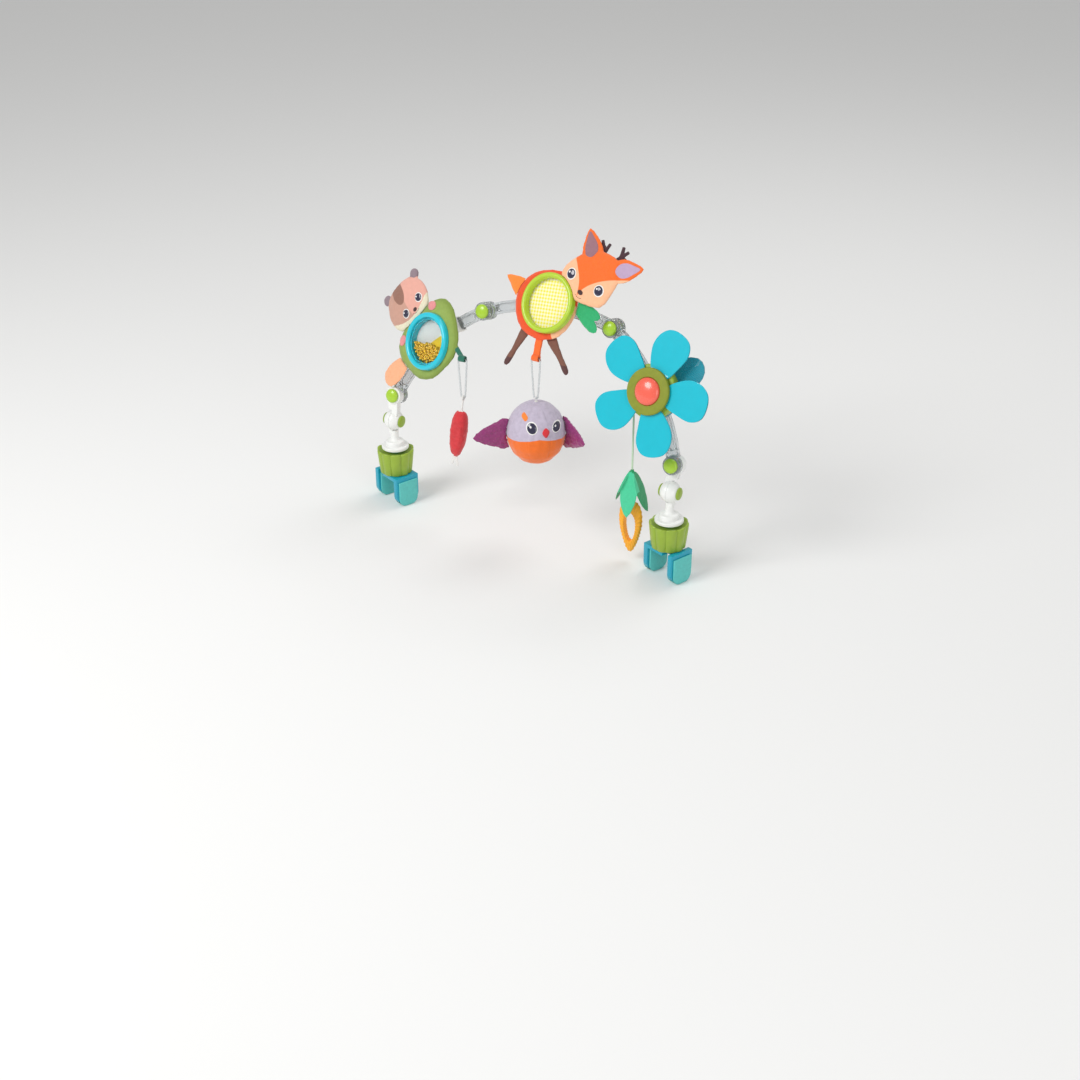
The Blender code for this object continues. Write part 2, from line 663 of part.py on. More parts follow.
def tilt_knuckle():
    """The upper half of the ball, a short neck and the hub disc; x, y and z of the arch plane."""
    half = moved(ball_half(), turn=(0, pi, 0))
    web_top = HUB_RISE - BORE_RADIUS * 2
    reach = BALL_RADIUS + GAP * 2
    outline = ((-BALL_FACE * 0.8, BORE_RADIUS * 1.6), (-SPLIT, BORE_RADIUS * 1.6), (-SPLIT, reach),
               (NECK_RADIUS, reach + NECK_RADIUS / 3), (NECK_RADIUS * 1.4, web_top),
               (-NECK_RADIUS * 1.4, web_top),
               (-BALL_FACE * 0.8, BALL_RADIUS))
    web = slab(outline, -HUB_DEPTH / 2 + GAP * 3, -SPLIT)
    disc = slab(circle(HUB_RADIUS, 20, (0, HUB_RISE)), -HUB_DEPTH / 2, -SPLIT)
    bore = slab(circle(BORE_RADIUS, 12, (0, HUB_RISE)), -HUB_DEPTH, HUB_DEPTH)
    return combined(half, joins=(web, disc), cuts=(bore,))


for side_name, side_place, half_turn in (("left", -SPAN, pi), ("right", 0, 0)):
    across_rail = frame(side_name + "_clamp_frame", None, (side_place, 0, 0), (0, 0, CLAMP_YAW + half_turn))
    swivel = frame(side_name + "_swivel_frame", None, (side_place, 0, 0), (0, 0, half_turn))
    ball = frame(side_name + "_ball_frame", ARCH, (side_place, 0, 0), (0, half_turn, 0))
    piece(side_name + "_clamp_body", clamp_body(), across_rail, CYAN)
    piece(side_name + "_clamp_jaw", clamp_jaw(), across_rail, CYAN)
    piece(side_name + "_fixed_pad", jaw_pad(-1), across_rail, MINT)
    piece(side_name + "_moving_pad", jaw_pad(1), across_rail, MINT)
    piece(side_name + "_screw_collar", screw_collar(), across_rail, OLIVE)
    piece(side_name + "_swivel_dome", swivel_dome(), swivel, WHITE)
    piece(side_name + "_tilt_knuckle", tilt_knuckle(), ball, WHITE)
    tilt_pin = moved(rivet(TILT_CAP_RADIUS, TILT_CAP_RISE, BALL_FACE), turn=(0, pi / 2, 0))
    piece(side_name + "_tilt_rivet", tilt_pin, ball, OLIVE)


# What the toys share: straps round the link, eyes for the clips, and helpers in world axes
bpy.context.view_layer.update()
ARM_HALF = LINK_WIDTH / 2
STRAP_ROOM = GAP * 1.4
STRAP_TOP = BODY_STANDOFF - CROWN * 0.75


def toy_frame(name, link, lean, twist):
    """A toy's own axes: x along its link, y outwards across the arch, z out of its face."""
    return frame(name, link, (LINK_PITCH / 2, LINK_BULGE, 0), (lean, twist, 0))


def from_link(shape, carrier):
    """Take a shape drawn in the link's axes into the axes of the toy that the link carries."""
    bmesh.ops.transform(shape, matrix=carrier.matrix_basis.inverted(), verts=shape.verts)
    return shape


def link_straps(carrier, places, width, height):
    """Sewn loops round the link, as solids to join and channels to cut; they end at one toy height."""
    joins, cuts = [], []
    outer = ARM_HALF + STRAP_ROOM + STRAP_WALL
    inner = ARM_HALF + STRAP_ROOM
    half_depth = LINK_DEPTH / 2 + STRAP_ROOM
    twist = carrier.rotation_euler.y
    for place in places:
        start, end = (asin((place + side * width / 2) / LINK_RADIUS) for side in (-1, 1))
        grow = OVERRUN / LINK_RADIUS
        top = (height - place * sin(twist)) / cos(twist)
        strap = slab(arc_band(outer, start, end, 2), -half_depth - STRAP_WALL, top)
        channel = slab(arc_band(inner, start - grow, end + grow, 3), -half_depth, half_depth)
        joins.append(from_link(strap, carrier))
        cuts.append(from_link(channel, carrier))
    return joins, cuts


def in_world(shape, carrier):
    """Take a shape drawn in world axes into a frame's own axes."""
    bmesh.ops.transform(shape, matrix=carrier.matrix_world.inverted(), verts=shape.verts)
    return shape


def eye_ring(centre, inner, wall, width):
    """A loop that a bar along world X passes through; its places are in world axes."""
    shape = turned(((inner, -width / 2), (inner + wall, -width / 2), (inner + wall, width / 2),
                    (inner, width / 2)), 12, hollow=True)
    return moved(shape, place=centre, turn=(0, pi / 2, 0))


def ribbon(start, end, width, thickness):
    """A flat strap between two world points, its width along world X."""
    along = (end - start).normalized()
    side = Vector((1, 0, 0))
    across_it = along.cross(side).normalized() * (thickness / 2)
    side = side * (width / 2)
    return loft([[point - side - across_it, point + side - across_it, point + side + across_it,
                  point - side + across_it] for point in (start, end)])


def hanging_tab(carrier, root, eye):
    """A folded ribbon from a toy's body to the eye that its clip hangs in."""
    root_point = carrier.matrix_world @ Vector(root)
    eye_point = carrier.matrix_world @ Vector(eye)
    reach = (root_point - eye_point).normalized() * (TAB_EYE_RADIUS + TAB_EYE_WALL / 2)
    strap = ribbon(root_point, eye_point + reach, TAB_WIDTH, TAB_THICKNESS)
    ring = eye_ring(eye_point, TAB_EYE_RADIUS, TAB_EYE_WALL, TAB_WIDTH)
    return [in_world(strap, carrier), in_world(ring, carrier)], eye_point


def disc(radius, low, high, centre=(0, 0), steps=28):
    return slab(circle(radius, steps, centre), low, high)


# The bear: a stuffed body round the left link, with a bead rattle let into its middle
BEAR = toy_frame("bear_frame", LINKS[0], BEAR_LEAN, BEAR_TWIST)
bpy.context.view_layer.update()
BEAR_BODY_SHARES = mirrored(((0, 0.48), (0.3, 0.47), (0.46, 0.34), (0.5, 0.12), (0.44, -0.15), (0.37, -0.33),
                             (0.2, -0.48), (0, -0.5)))
BEAR_HEAD_SHARES = mirrored(((0, 0.5), (0.26, 0.45), (0.43, 0.27), (0.5, 0), (0.45, -0.27), (0.3, -0.44),
                             (0, -0.5)))
FLAP_SHARES = ((0.5, 0), (0.3, 0.42), (-0.2, 0.5), (-0.45, 0.3), (-0.5, 0), (-0.4, -0.36), (0, -0.46),
               (0.35, -0.3))
RATTLE_SEAT = BODY_STANDOFF + DISC_WEB / 2 + GAP
RATTLE_NECK = RATTLE_RADIUS - RATTLE_RIM + GAP
RATTLE_BORE = RATTLE_NECK - RATTLE_NECK_WALL
RATTLE_BACK_TOP = BODY_STANDOFF - DISC_WEB / 2 - GAP
RATTLE_TOP = RATTLE_SEAT + RATTLE_FRONT
BEAR_MIDDLE = (BEAR_AXIS, -BEAR_DROP)
BEAR_HEAD_RISE = BEAR_BODY_HEIGHT / 2 - BEAR_DROP + BEAR_HEAD_HEIGHT / 2 - BEAR_NECK_OVERLAP
BEAR_TAB_ROOT = (BEAR_AXIS + BEAR_BODY_WIDTH * 0.3, -BEAR_DROP - BEAR_BODY_HEIGHT * 0.32, BODY_STANDOFF)
BEAR_TAB_EYE = (BEAR_AXIS + BEAR_BODY_WIDTH * 0.32, -BEAR_DROP - BEAR_BODY_HEIGHT * 0.59, BODY_STANDOFF)


def bear_body_form(grow=0):
    outline = smooth_outline(scaled(BEAR_BODY_SHARES, BEAR_BODY_WIDTH, BEAR_BODY_HEIGHT, BEAR_MIDDLE), 2)
    return moved(stuffed(outline, CROWN, CROWN, grow=grow, centre=BEAR_MIDDLE), place=(0, 0, BODY_STANDOFF))


def rattle_recess(radius):
    """The cuts that a two-part round window leaves in the body that it clamps."""
    half = DISC_WEB / 2
    return [disc(RATTLE_NECK + GAP, 0, RATTLE_TOP, BEAR_MIDDLE),
            disc(radius + GAP, BODY_STANDOFF + half, RATTLE_TOP + OVERRUN, BEAR_MIDDLE),
            disc(radius - RATTLE_FLANGE + GAP, 0, BODY_STANDOFF - half, BEAR_MIDDLE)]


def bear_body():
    places = (BEAR_AXIS - STRAP_PLACE, BEAR_AXIS + STRAP_PLACE)
    joins, cuts = link_straps(BEAR, places, STRAP_WIDTH, STRAP_TOP)
    tab, eye = hanging_tab(BEAR, BEAR_TAB_ROOT, BEAR_TAB_EYE)
    return combined(bear_body_form(), joins=joins + tab, cuts=cuts + rattle_recess(RATTLE_RADIUS)), eye


def bear_head():
    outline = smooth_outline(scaled(BEAR_HEAD_SHARES, BEAR_HEAD_WIDTH, BEAR_HEAD_HEIGHT), 2)
    place = Vector((BEAR_HEAD_OFFSET, BEAR_HEAD_RISE, BODY_STANDOFF))
    head = moved(stuffed(outline, CROWN * 1.3, CROWN), place=place)
    ears = [moved(stuffed(circle(BEAR_EAR_RADIUS, 12), CROWN / 2, CROWN / 2, shares=FLAT_SHARES),
                  place=place + Vector((side * BEAR_EAR_SPREAD, BEAR_EAR_RISE, 0))) for side in (-1, 1)]
    window = disc(RATTLE_RADIUS + GAP, 0, RATTLE_TOP + OVERRUN, BEAR_MIDDLE)
    return combined(head, joins=ears, cuts=(bear_body_form(GAP), window))


def bear_flap():
    outline = smooth_outline(scaled(FLAP_SHARES, BEAR_FLAP_LENGTH, BEAR_FLAP_WIDTH), 2)
    flap = stuffed(outline, CROWN / 3, CROWN / 3, shares=FLAT_SHARES)
    place = (BEAR_FLAP_LENGTH / 2 - BEAR_FLAP_END, -BEAR_FLAP_DROP, BODY_STANDOFF)
    return combined(moved(flap, place=place), cuts=(bear_body_form(GAP),))


def rattle_ring():
    """Turquoise bezel with a neck that passes through the body."""
    round_over = RATTLE_RIM / 3
    neck_foot = RATTLE_BACK_TOP + GAP
    lens_seat = RATTLE_SEAT + round_over
    mouth = RATTLE_NECK - GAP
    profile = ((RATTLE_BORE, neck_foot), (RATTLE_NECK, neck_foot), (RATTLE_NECK, RATTLE_SEAT),
               (RATTLE_RADIUS, RATTLE_SEAT), (RATTLE_RADIUS, RATTLE_TOP - round_over),
               (RATTLE_RADIUS - round_over, RATTLE_TOP), (RATTLE_RADIUS - 2 * round_over, RATTLE_TOP),
               (mouth, RATTLE_TOP - round_over), (mouth, lens_seat), (RATTLE_BORE, lens_seat))
    return turned(profile, 28, hollow=True)


def rattle_back():
    radius = RATTLE_RADIUS - RATTLE_FLANGE
    low = RATTLE_BACK_TOP - RATTLE_BACK_THICKNESS
    profile = ((0, low), (radius - SEAM_EDGE, low), (radius, low + SEAM_EDGE), (radius, RATTLE_BACK_TOP),
               (RATTLE_BORE - GAP, RATTLE_BACK_TOP), (RATTLE_BORE - GAP, RATTLE_BACK_TOP + SEAM_EDGE),
               (0, RATTLE_BACK_TOP + SEAM_EDGE))
    return turned(profile, 28)


def rattle_lens():
    seat = RATTLE_SEAT + RATTLE_RIM / 3 + GAP
    radius = RATTLE_NECK - GAP * 2
    swings = [pi / 2 * k / 3 for k in range(4)]
    dome = [(radius * cos(swing), seat + LENS_THICKNESS + LENS_RISE * sin(swing)) for swing in swings]
    return turned([(0, seat), (radius, seat)] + dome, 28)


def rattle_beads():
    """The loose beads as one heap that lies on the low side of the window."""
    down = BEAR.matrix_world.to_3x3().inverted() @ Vector((0, 0, -1))
    heading = atan2(down.y, down.x)
    radius = RATTLE_BORE - GAP * 2
    half = acos((radius - BEAD_FILL) / radius)
    swings = [heading - half + 2 * half * k / 14 for k in range(15)]
    outline = [(radius * cos(swing), radius * sin(swing)) for swing in swings]
    low = RATTLE_BACK_TOP + SEAM_EDGE + GAP
    return slab(outline, low, low + BEAD_DEPTH)


BEAR_BODY_SOLID, BEAR_TAB_PIVOT = bear_body()
piece("bear_body", BEAR_BODY_SOLID, BEAR, BEAR_GREEN)
piece("bear_head", bear_head(), BEAR, BEAR_PINK)
piece("bear_flap", bear_flap(), BEAR, PEACH)
piece("rattle_ring", rattle_ring(), BEAR, TURQUOISE, (*BEAR_MIDDLE, 0))
piece("rattle_back", rattle_back(), BEAR, WHITE, (*BEAR_MIDDLE, 0))
piece("rattle_lens", rattle_lens(), BEAR, CLEAR, (*BEAR_MIDDLE, 0))
piece("rattle_beads", rattle_beads(), BEAR, YELLOW, (*BEAR_MIDDLE, 0))


# The deer: a round body on the top link, a gingham window, and a head turned to its right
DEER = toy_frame("deer_frame", LINKS[1], DEER_LEAN, DEER_TWIST)
bpy.context.view_layer.update()
DEER_BODY_SHARES = ((0, 0.5), (0.27, 0.46), (0.45, 0.3), (0.5, 0.05), (0.46, -0.2), (0.3, -0.42),
                    (0.05, -0.5), (-0.2, -0.46), (-0.4, -0.3), (-0.5, -0.02), (-0.46, 0.24), (-0.27, 0.43))
DEER_HEAD_SHARES = ((0.07, 0.5), (0.35, 0.49), (0.49, 0.23), (0.5, -0.1), (0.44, -0.36), (0.12, -0.48),
                    (-0.13, -0.5), (-0.38, -0.38), (-0.49, -0.2), (-0.44, 0.02), (-0.33, 0.22), (-0.14, 0.42))
EAR_SHARES = mirrored(((0, 1), (0.32, 0.66), (0.5, 0.3), (0.42, 0), (0, -0.14)))
TAIL_SHARES = ((0, 1), (0.3, 0.6), (0.5, 0.1), (0.4, -0.2), (-0.4, -0.2), (-0.5, 0.1), (-0.24, 0.6))
LEG_SHARES = ((0.5, 0), (0.42, -0.3), (0.3, -0.6), (0.34, -0.85), (0.2, -1), (-0.2, -1), (-0.3, -0.85),
              (-0.24, -0.6), (-0.42, -0.3), (-0.5, 0))
SCARF_SHARES = ((-0.3, 0), (0.3, 0), (0.5, -0.45), (0.42, -0.85), (0.05, -1), (-0.4, -0.86), (-0.5, -0.45))
HEAD_PLANE = BODY_STANDOFF + DEER_HEAD_FORWARD
DEER_MIDDLE = (DEER_AXIS, 0)
WINDOW_CENTRE = (DEER_RING_OFFSET, DEER_RING_RISE)
WINDOW_SEAT = BODY_STANDOFF + DISC_WEB / 2 + GAP
WINDOW_TOP = WINDOW_SEAT + WINDOW_FRONT
WINDOW_BORE = WINDOW_RADIUS - WINDOW_RIM
EAR_TURNS = (radians(43), radians(-56))
EAR_PLACE_SHARES = ((-0.1, 0.27), (0.36, 0.31))
LEG_PLACE_SHARES = ((-0.27, -0.34), (0.12, -0.42))
LEG_TURNS = (radians(-25), radians(39))
SCARF_PLACE_SHARES = (0.42, 0.1)
SCARF_TURNS = (radians(50), radians(68))
ANTLER_PLACE_SHARES = (0.13, 0.4)
ANTLER_TURN = DEER_HEAD_TURN + radians(8)
ANTLER_SPLAY = radians(38)
TAIL_PLACE_SHARES = (-0.42, 0.18)
TAIL_TURN = radians(62)
DEER_TAB_ROOT = (DEER_AXIS, -DEER_BODY_HEIGHT * 0.38, BODY_STANDOFF)
DEER_TAB_EYE = (DEER_AXIS, -DEER_BODY_HEIGHT * 0.76, BODY_STANDOFF)


def on_head(share_x, share_y):
    """A place on the deer's head, given as shares of its size, in the toy's axes."""
    spot = Vector((DEER_HEAD_WIDTH * share_x, DEER_HEAD_HEIGHT * share_y))
    return Matrix.Rotation(DEER_HEAD_TURN, 2) @ spot + Vector((DEER_HEAD_OFFSET, DEER_HEAD_RISE))


def on_body(shares, height):
    """A place on the deer's body, given as shares of its size, in the toy's axes."""
    return (DEER_AXIS + DEER_BODY_WIDTH * shares[0], DEER_BODY_HEIGHT * shares[1], height)


def deer_body_form(grow=0):
    outline = smooth_outline(scaled(DEER_BODY_SHARES, DEER_BODY_WIDTH, DEER_BODY_HEIGHT, DEER_MIDDLE), 2)
    return moved(stuffed(outline, CROWN, CROWN, grow=grow, centre=DEER_MIDDLE), place=(0, 0, BODY_STANDOFF))


def deer_head_form(grow=0):
    outline = smooth_outline(scaled(DEER_HEAD_SHARES, DEER_HEAD_WIDTH, DEER_HEAD_HEIGHT), 2)
    return moved(stuffed(outline, CROWN * 1.2, CROWN * 0.6, grow=grow, centre=(0, 0)),
                 place=(DEER_HEAD_OFFSET, DEER_HEAD_RISE, HEAD_PLANE), turn=(0, 0, DEER_HEAD_TURN))


def window_hole():
    half = DISC_WEB / 2
    return [disc(WINDOW_BORE + GAP * 6, BODY_STANDOFF - half, WINDOW_TOP, WINDOW_CENTRE),
            disc(WINDOW_RADIUS + GAP, BODY_STANDOFF + half, WINDOW_TOP + OVERRUN, WINDOW_CENTRE)]


def deer_body():
    joins, cuts = link_straps(DEER, (-STRAP_PLACE * 0.75, STRAP_PLACE * 0.75), STRAP_WIDTH, STRAP_TOP)
    tab, eye = hanging_tab(DEER, DEER_TAB_ROOT, DEER_TAB_EYE)
    return combined(deer_body_form(), joins=joins + tab, cuts=cuts + window_hole()), eye


def deer_head():
    ears = []
    for turn, (share_x, share_y) in zip(EAR_TURNS, EAR_PLACE_SHARES):
        spot = on_head(share_x, share_y)
        outline = smooth_outline(scaled(EAR_SHARES, DEER_EAR_WIDTH, DEER_EAR_LENGTH), 2)
        ear = stuffed(outline, CROWN / 3, CROWN / 3, shares=FLAT_SHARES)
        ears.append(moved(ear, place=(spot.x, spot.y, HEAD_PLANE), turn=(0, 0, turn + DEER_HEAD_TURN)))
    window = disc(WINDOW_RADIUS + GAP, 0, WINDOW_TOP + OVERRUN, WINDOW_CENTRE)
    return combined(deer_head_form(), joins=ears, cuts=(deer_body_form(GAP), window))


def antler_bar(start, turn, length, width):
    outline = ((-width / 2, 0), (width / 2, 0), (width / 3, length), (-width / 3, length))
    return moved(slab(outline, -ANTLER_RADIUS / 2, ANTLER_RADIUS / 2), place=(start[0], start[1], 0),
                 turn=(0, 0, turn))


def deer_antlers():
    """Two branched felt antlers on one base strip behind the head."""
    width = ANTLER_RADIUS * 2
    strip = ((-0.75, -0.35), (0.75, -0.35), (0.75, 0.08), (-0.75, 0.08))
    base = slab(scaled(strip, ANTLER_SPREAD, ANTLER_LENGTH), -ANTLER_RADIUS / 2, ANTLER_RADIUS / 2)
    bars = []
    for side in (-1, 1):
        foot = side * ANTLER_SPREAD / 2
        lean = -side * ANTLER_SPLAY
        bars.append(antler_bar((foot, -ANTLER_RADIUS), lean, ANTLER_LENGTH, width))
        for rise_share, tine_turn in ((0.55, radians(48)), (0.4, radians(-52))):
            start = (foot - sin(lean) * ANTLER_LENGTH * rise_share, cos(lean) * ANTLER_LENGTH * rise_share)
            bars.append(antler_bar(start, lean + tine_turn, ANTLER_LENGTH * 0.38, width * 0.9))
    spot = on_head(*ANTLER_PLACE_SHARES)
    plane = HEAD_PLANE - SEAM_EDGE / 2 - CROWN / 3 - GAP - ANTLER_RADIUS / 2
    antlers = moved(combined(base, joins=bars), place=(spot.x, spot.y, plane), turn=(0, 0, ANTLER_TURN))
    return combined(antlers, cuts=(deer_head_form(GAP),))


def deer_tail():
    outline = smooth_outline(scaled(TAIL_SHARES, DEER_TAIL_WIDTH, DEER_TAIL_LENGTH), 2)
    tail = moved(stuffed(outline, CROWN / 3, CROWN / 3, shares=FLAT_SHARES), turn=(0, 0, TAIL_TURN),
                 place=on_body(TAIL_PLACE_SHARES, BODY_STANDOFF + CROWN / 4))
    return combined(tail, cuts=(deer_body_form(GAP),))


def deer_leg():
    outline = smooth_outline(scaled(LEG_SHARES, DEER_LEG_WIDTH, DEER_LEG_LENGTH), 2)
    return stuffed(outline, CROWN / 3, CROWN / 3, centre=(0, -DEER_LEG_LENGTH / 2))


def deer_scarf():
    """Two felt leaves that start under the chin."""
    leaves = []
    for turn, length_share in zip(SCARF_TURNS, (1, 0.86)):
        outline = smooth_outline(scaled(SCARF_SHARES, SCARF_WIDTH, SCARF_LENGTH * length_share), 2)
        leaf = stuffed(outline, SEAM_EDGE / 3, SEAM_EDGE / 3, shares=FLAT_SHARES)
        leaves.append(moved(leaf, turn=(0, 0, turn), place=on_body(SCARF_PLACE_SHARES, BODY_STANDOFF)))
    window = disc(WINDOW_RADIUS + GAP, 0, WINDOW_TOP, WINDOW_CENTRE)
    return combined(leaves[0], joins=leaves[1:], cuts=(deer_body_form(GAP), deer_head_form(GAP), window))


def window_ring():
    """Lime bezel with a deep wall; the cloth is stretched across its back."""
    round_over = WINDOW_RIM / 3
    bore = WINDOW_BORE
    profile = ((bore, WINDOW_SEAT), (WINDOW_RADIUS, WINDOW_SEAT), (WINDOW_RADIUS, WINDOW_TOP - round_over),
               (WINDOW_RADIUS - round_over, WINDOW_TOP), (bore + round_over, WINDOW_TOP),
               (bore, WINDOW_TOP - round_over))
    return turned(profile, 28, hollow=True)


def window_fabric():
    radius = WINDOW_BORE + GAP * 5
    low = WINDOW_SEAT - GAP - WINDOW_CLOTH
    return turned(((0, low), (radius, low), (radius, low + WINDOW_CLOTH), (0, low + WINDOW_CLOTH)), 32)


DEER_BODY_SOLID, DEER_TAB_PIVOT = deer_body()
piece("deer_body", DEER_BODY_SOLID, DEER, ORANGE)
piece("deer_head", deer_head(), DEER, ORANGE)
piece("deer_antlers", deer_antlers(), DEER, BROWN)
piece("deer_tail", deer_tail(), DEER, ORANGE)
piece("deer_scarf", deer_scarf(), DEER, LEAF_GREEN)
piece("window_ring", window_ring(), DEER, LIME, (*WINDOW_CENTRE, 0))
piece("window_fabric", window_fabric(), DEER, GINGHAM, (*WINDOW_CENTRE, 0))
for leg_name, leg_turn, leg_shares in zip(("deer_left_leg", "deer_right_leg"), LEG_TURNS, LEG_PLACE_SHARES):
    hip = on_body(leg_shares, BODY_STANDOFF - LEG_SET_BACK)
    piece(leg_name, deer_leg(), DEER, BROWN, hip, (0, 0, leg_turn))


# The music flower: a two-part case on the right link, with petals that turn round its button
FLOWER = toy_frame("flower_frame", LINKS[2], FLOWER_LEAN, FLOWER_TWIST)
bpy.context.view_layer.update()
CENTRE = (FLOWER_OFFSET, FLOWER_RISE)
CASE_SPLIT = CASE_BACK + CASE_REAR_DEPTH
CASE_FACE = CASE_SPLIT + GAP + CASE_FRONT_DEPTH
TUBE_TOP = CASE_FACE + TUBE_RISE
TUBE_BORE = BUTTON_RADIUS + GAP
PETAL_BACK = CASE_FACE + GAP
BEZEL_BACK = TUBE_TOP + GAP
CASE_BORE = CASE_RADIUS - CASE_WALL
PETAL_SHARES = ((-0.22, 0), (-0.5, 0.4), (-0.5, 0.72), (-0.3, 0.95), (0.02, 1), (0.32, 0.92), (0.45, 0.68),
                (0.38, 0.36), (0.2, 0))
BACK_LEAF_SHARES = ((-0.2, 0), (-0.46, 0.4), (-0.48, 0.72), (-0.25, 0.96), (0.1, 1), (0.4, 0.88), (0.5, 0.6),
                    (0.2, 0))
BACK_LEAF_TURN = radians(4)


def petal(turn):
    """One blade: a broad rounded paddle, crowned in front and hollow behind."""
    outline = smooth_outline(scaled(PETAL_SHARES, PETAL_WIDTH, PETAL_REACH - PETAL_ROOT, (0, PETAL_ROOT)), 2)
    middle = (0, PETAL_ROOT + (PETAL_REACH - PETAL_ROOT) * 0.55)
    blade = stuffed(outline, PETAL_CROWN, -PETAL_CROWN * 0.7, edge=PETAL_THICKNESS * 0.7, centre=middle,
                    shares=FLAT_SHARES)
    return moved(blade, place=(0, 0, PETAL_BACK + PETAL_THICKNESS / 2), turn=(0, 0, turn))


def flower_petals():
    """The petals keep clear of the case's tube, and of the bezel where it covers them."""
    inner, outer = TUBE_RADIUS + GAP, PETAL_HUB_RADIUS
    back, front = PETAL_BACK, PETAL_BACK + PETAL_THICKNESS
    hub = turned(((inner, back), (outer, back), (outer, front), (inner, front)), 28, hollow=True)
    blades = [petal(PETAL_TURN + 2 * pi * k / PETAL_COUNT) for k in range(PETAL_COUNT)]
    below_bezel = disc(BEZEL_RADIUS + GAP * 2, BEZEL_BACK - GAP, TUBE_TOP * 2)
    past_tube = disc(inner - GAP / 4, 0, TUBE_TOP * 2)
    return combined(hub, joins=blades, cuts=(past_tube, below_bezel))


def flower_bezel():
    top = BEZEL_BACK + BEZEL_THICKNESS
    profile = ((TUBE_BORE, BEZEL_BACK), (BEZEL_RADIUS, BEZEL_BACK), (BEZEL_RADIUS, top - BEZEL_THICKNESS / 2),
               (BEZEL_RADIUS - BEZEL_THICKNESS / 3, top), (TUBE_BORE, top))
    return turned(profile, 28, hollow=True)


def music_button():
    top = BEZEL_BACK + BEZEL_THICKNESS
    dome = [(BUTTON_RADIUS * cos(pi / 2 * k / 4), top + BUTTON_RISE * sin(pi / 2 * k / 4)) for k in range(5)]
    return turned([(0, top - BUTTON_SKIRT), (BUTTON_RADIUS, top - BUTTON_SKIRT)] + dome, 24)


def case_front():
    face, split = CASE_FACE, CASE_SPLIT + GAP
    profile = ((CASE_BORE, split), (CASE_RADIUS, split), (CASE_RADIUS, face - CASE_WALL / 2),
               (CASE_RADIUS - CASE_WALL / 2, face), (TUBE_RADIUS, face), (TUBE_RADIUS, TUBE_TOP),
               (TUBE_BORE, TUBE_TOP), (TUBE_BORE, face - CASE_WALL), (CASE_BORE, face - CASE_WALL))
    return turned(profile, 28, hollow=True)


DOOR_HALF_WIDTH = CELL_SPREAD + CELL_RADIUS + DOOR_MARGIN
DOOR_LOW = CELL_RISE - CELL_RADIUS - DOOR_MARGIN
DOOR_HIGH = CELL_RISE + CELL_RADIUS + DOOR_MARGIN


def case_rear():
    """The back shell, its clip round the link, one fixed back leaf and the lug for the carrot's cord."""
    shell = turned(((0, CASE_BACK), (CASE_RADIUS - CASE_WALL / 2, CASE_BACK),
                    (CASE_RADIUS, CASE_BACK + CASE_WALL / 2), (CASE_RADIUS, CASE_SPLIT),
                    (CASE_BORE, CASE_SPLIT), (CASE_BORE, CASE_BACK + CASE_WALL),
                    (0, CASE_BACK + CASE_WALL)), 30)
    shell = moved(shell, place=(*CENTRE, 0))
    room = ARM_HALF + STRAP_ROOM
    depth = LINK_DEPTH / 2 + STRAP_ROOM
    half_turn = CLIP_LENGTH / 2 / LINK_RADIUS
    grow = OVERRUN / LINK_RADIUS
    saddle = from_link(slab(arc_band(room + CLIP_WALL, -half_turn, half_turn, 4), -depth - CLIP_LIP,
                            CASE_BACK + CASE_WALL), FLOWER)
    channel = from_link(slab(arc_band(room, -half_turn - grow, half_turn + grow, 6), -depth, depth), FLOWER)
    mouth = from_link(slab(arc_band(room - CLIP_LIP, -half_turn - grow, half_turn + grow, 6),
                           -depth - CLIP_LIP * 2, 0), FLOWER)
    leaf = stuffed(smooth_outline(scaled(BACK_LEAF_SHARES, LEAF_WIDTH, LEAF_REACH), 2), PETAL_CROWN / 2, 0,
                   edge=PETAL_THICKNESS, centre=(0, LEAF_REACH / 2), shares=FLAT_SHARES)
    leaf = moved(leaf, turn=(0, 0, BACK_LEAF_TURN),
                 place=(CENTRE[0], CENTRE[1], CASE_BACK + CASE_WALL / 2))
    trimmed = combined(leaf, cuts=(disc(CASE_BORE + CASE_WALL / 2, 0, CASE_SPLIT, CENTRE),))
    lug = eye_lug()
    door_hole = block((CENTRE[0] - DOOR_HALF_WIDTH, CENTRE[1] + DOOR_LOW, 0),
                      (CENTRE[0] + DOOR_HALF_WIDTH, CENTRE[1] + DOOR_HIGH, CASE_BACK + CASE_WALL * 1.1))
    saddle = combined(saddle, cuts=(disc(CASE_RADIUS, CASE_BACK + CASE_WALL / 2, CASE_SPLIT, CENTRE),))
    return combined(shell, joins=(saddle, trimmed, lug), cuts=(channel, mouth, door_hole))


LUG_REACH = CASE_RADIUS + LUG_SIZE * 0.7
LUG_MIDDLE = Vector((CENTRE[0] + LUG_REACH * cos(CARROT_ANCHOR_TURN),
                     CENTRE[1] + LUG_REACH * sin(CARROT_ANCHOR_TURN), CASE_BACK + CASE_REAR_DEPTH / 2))


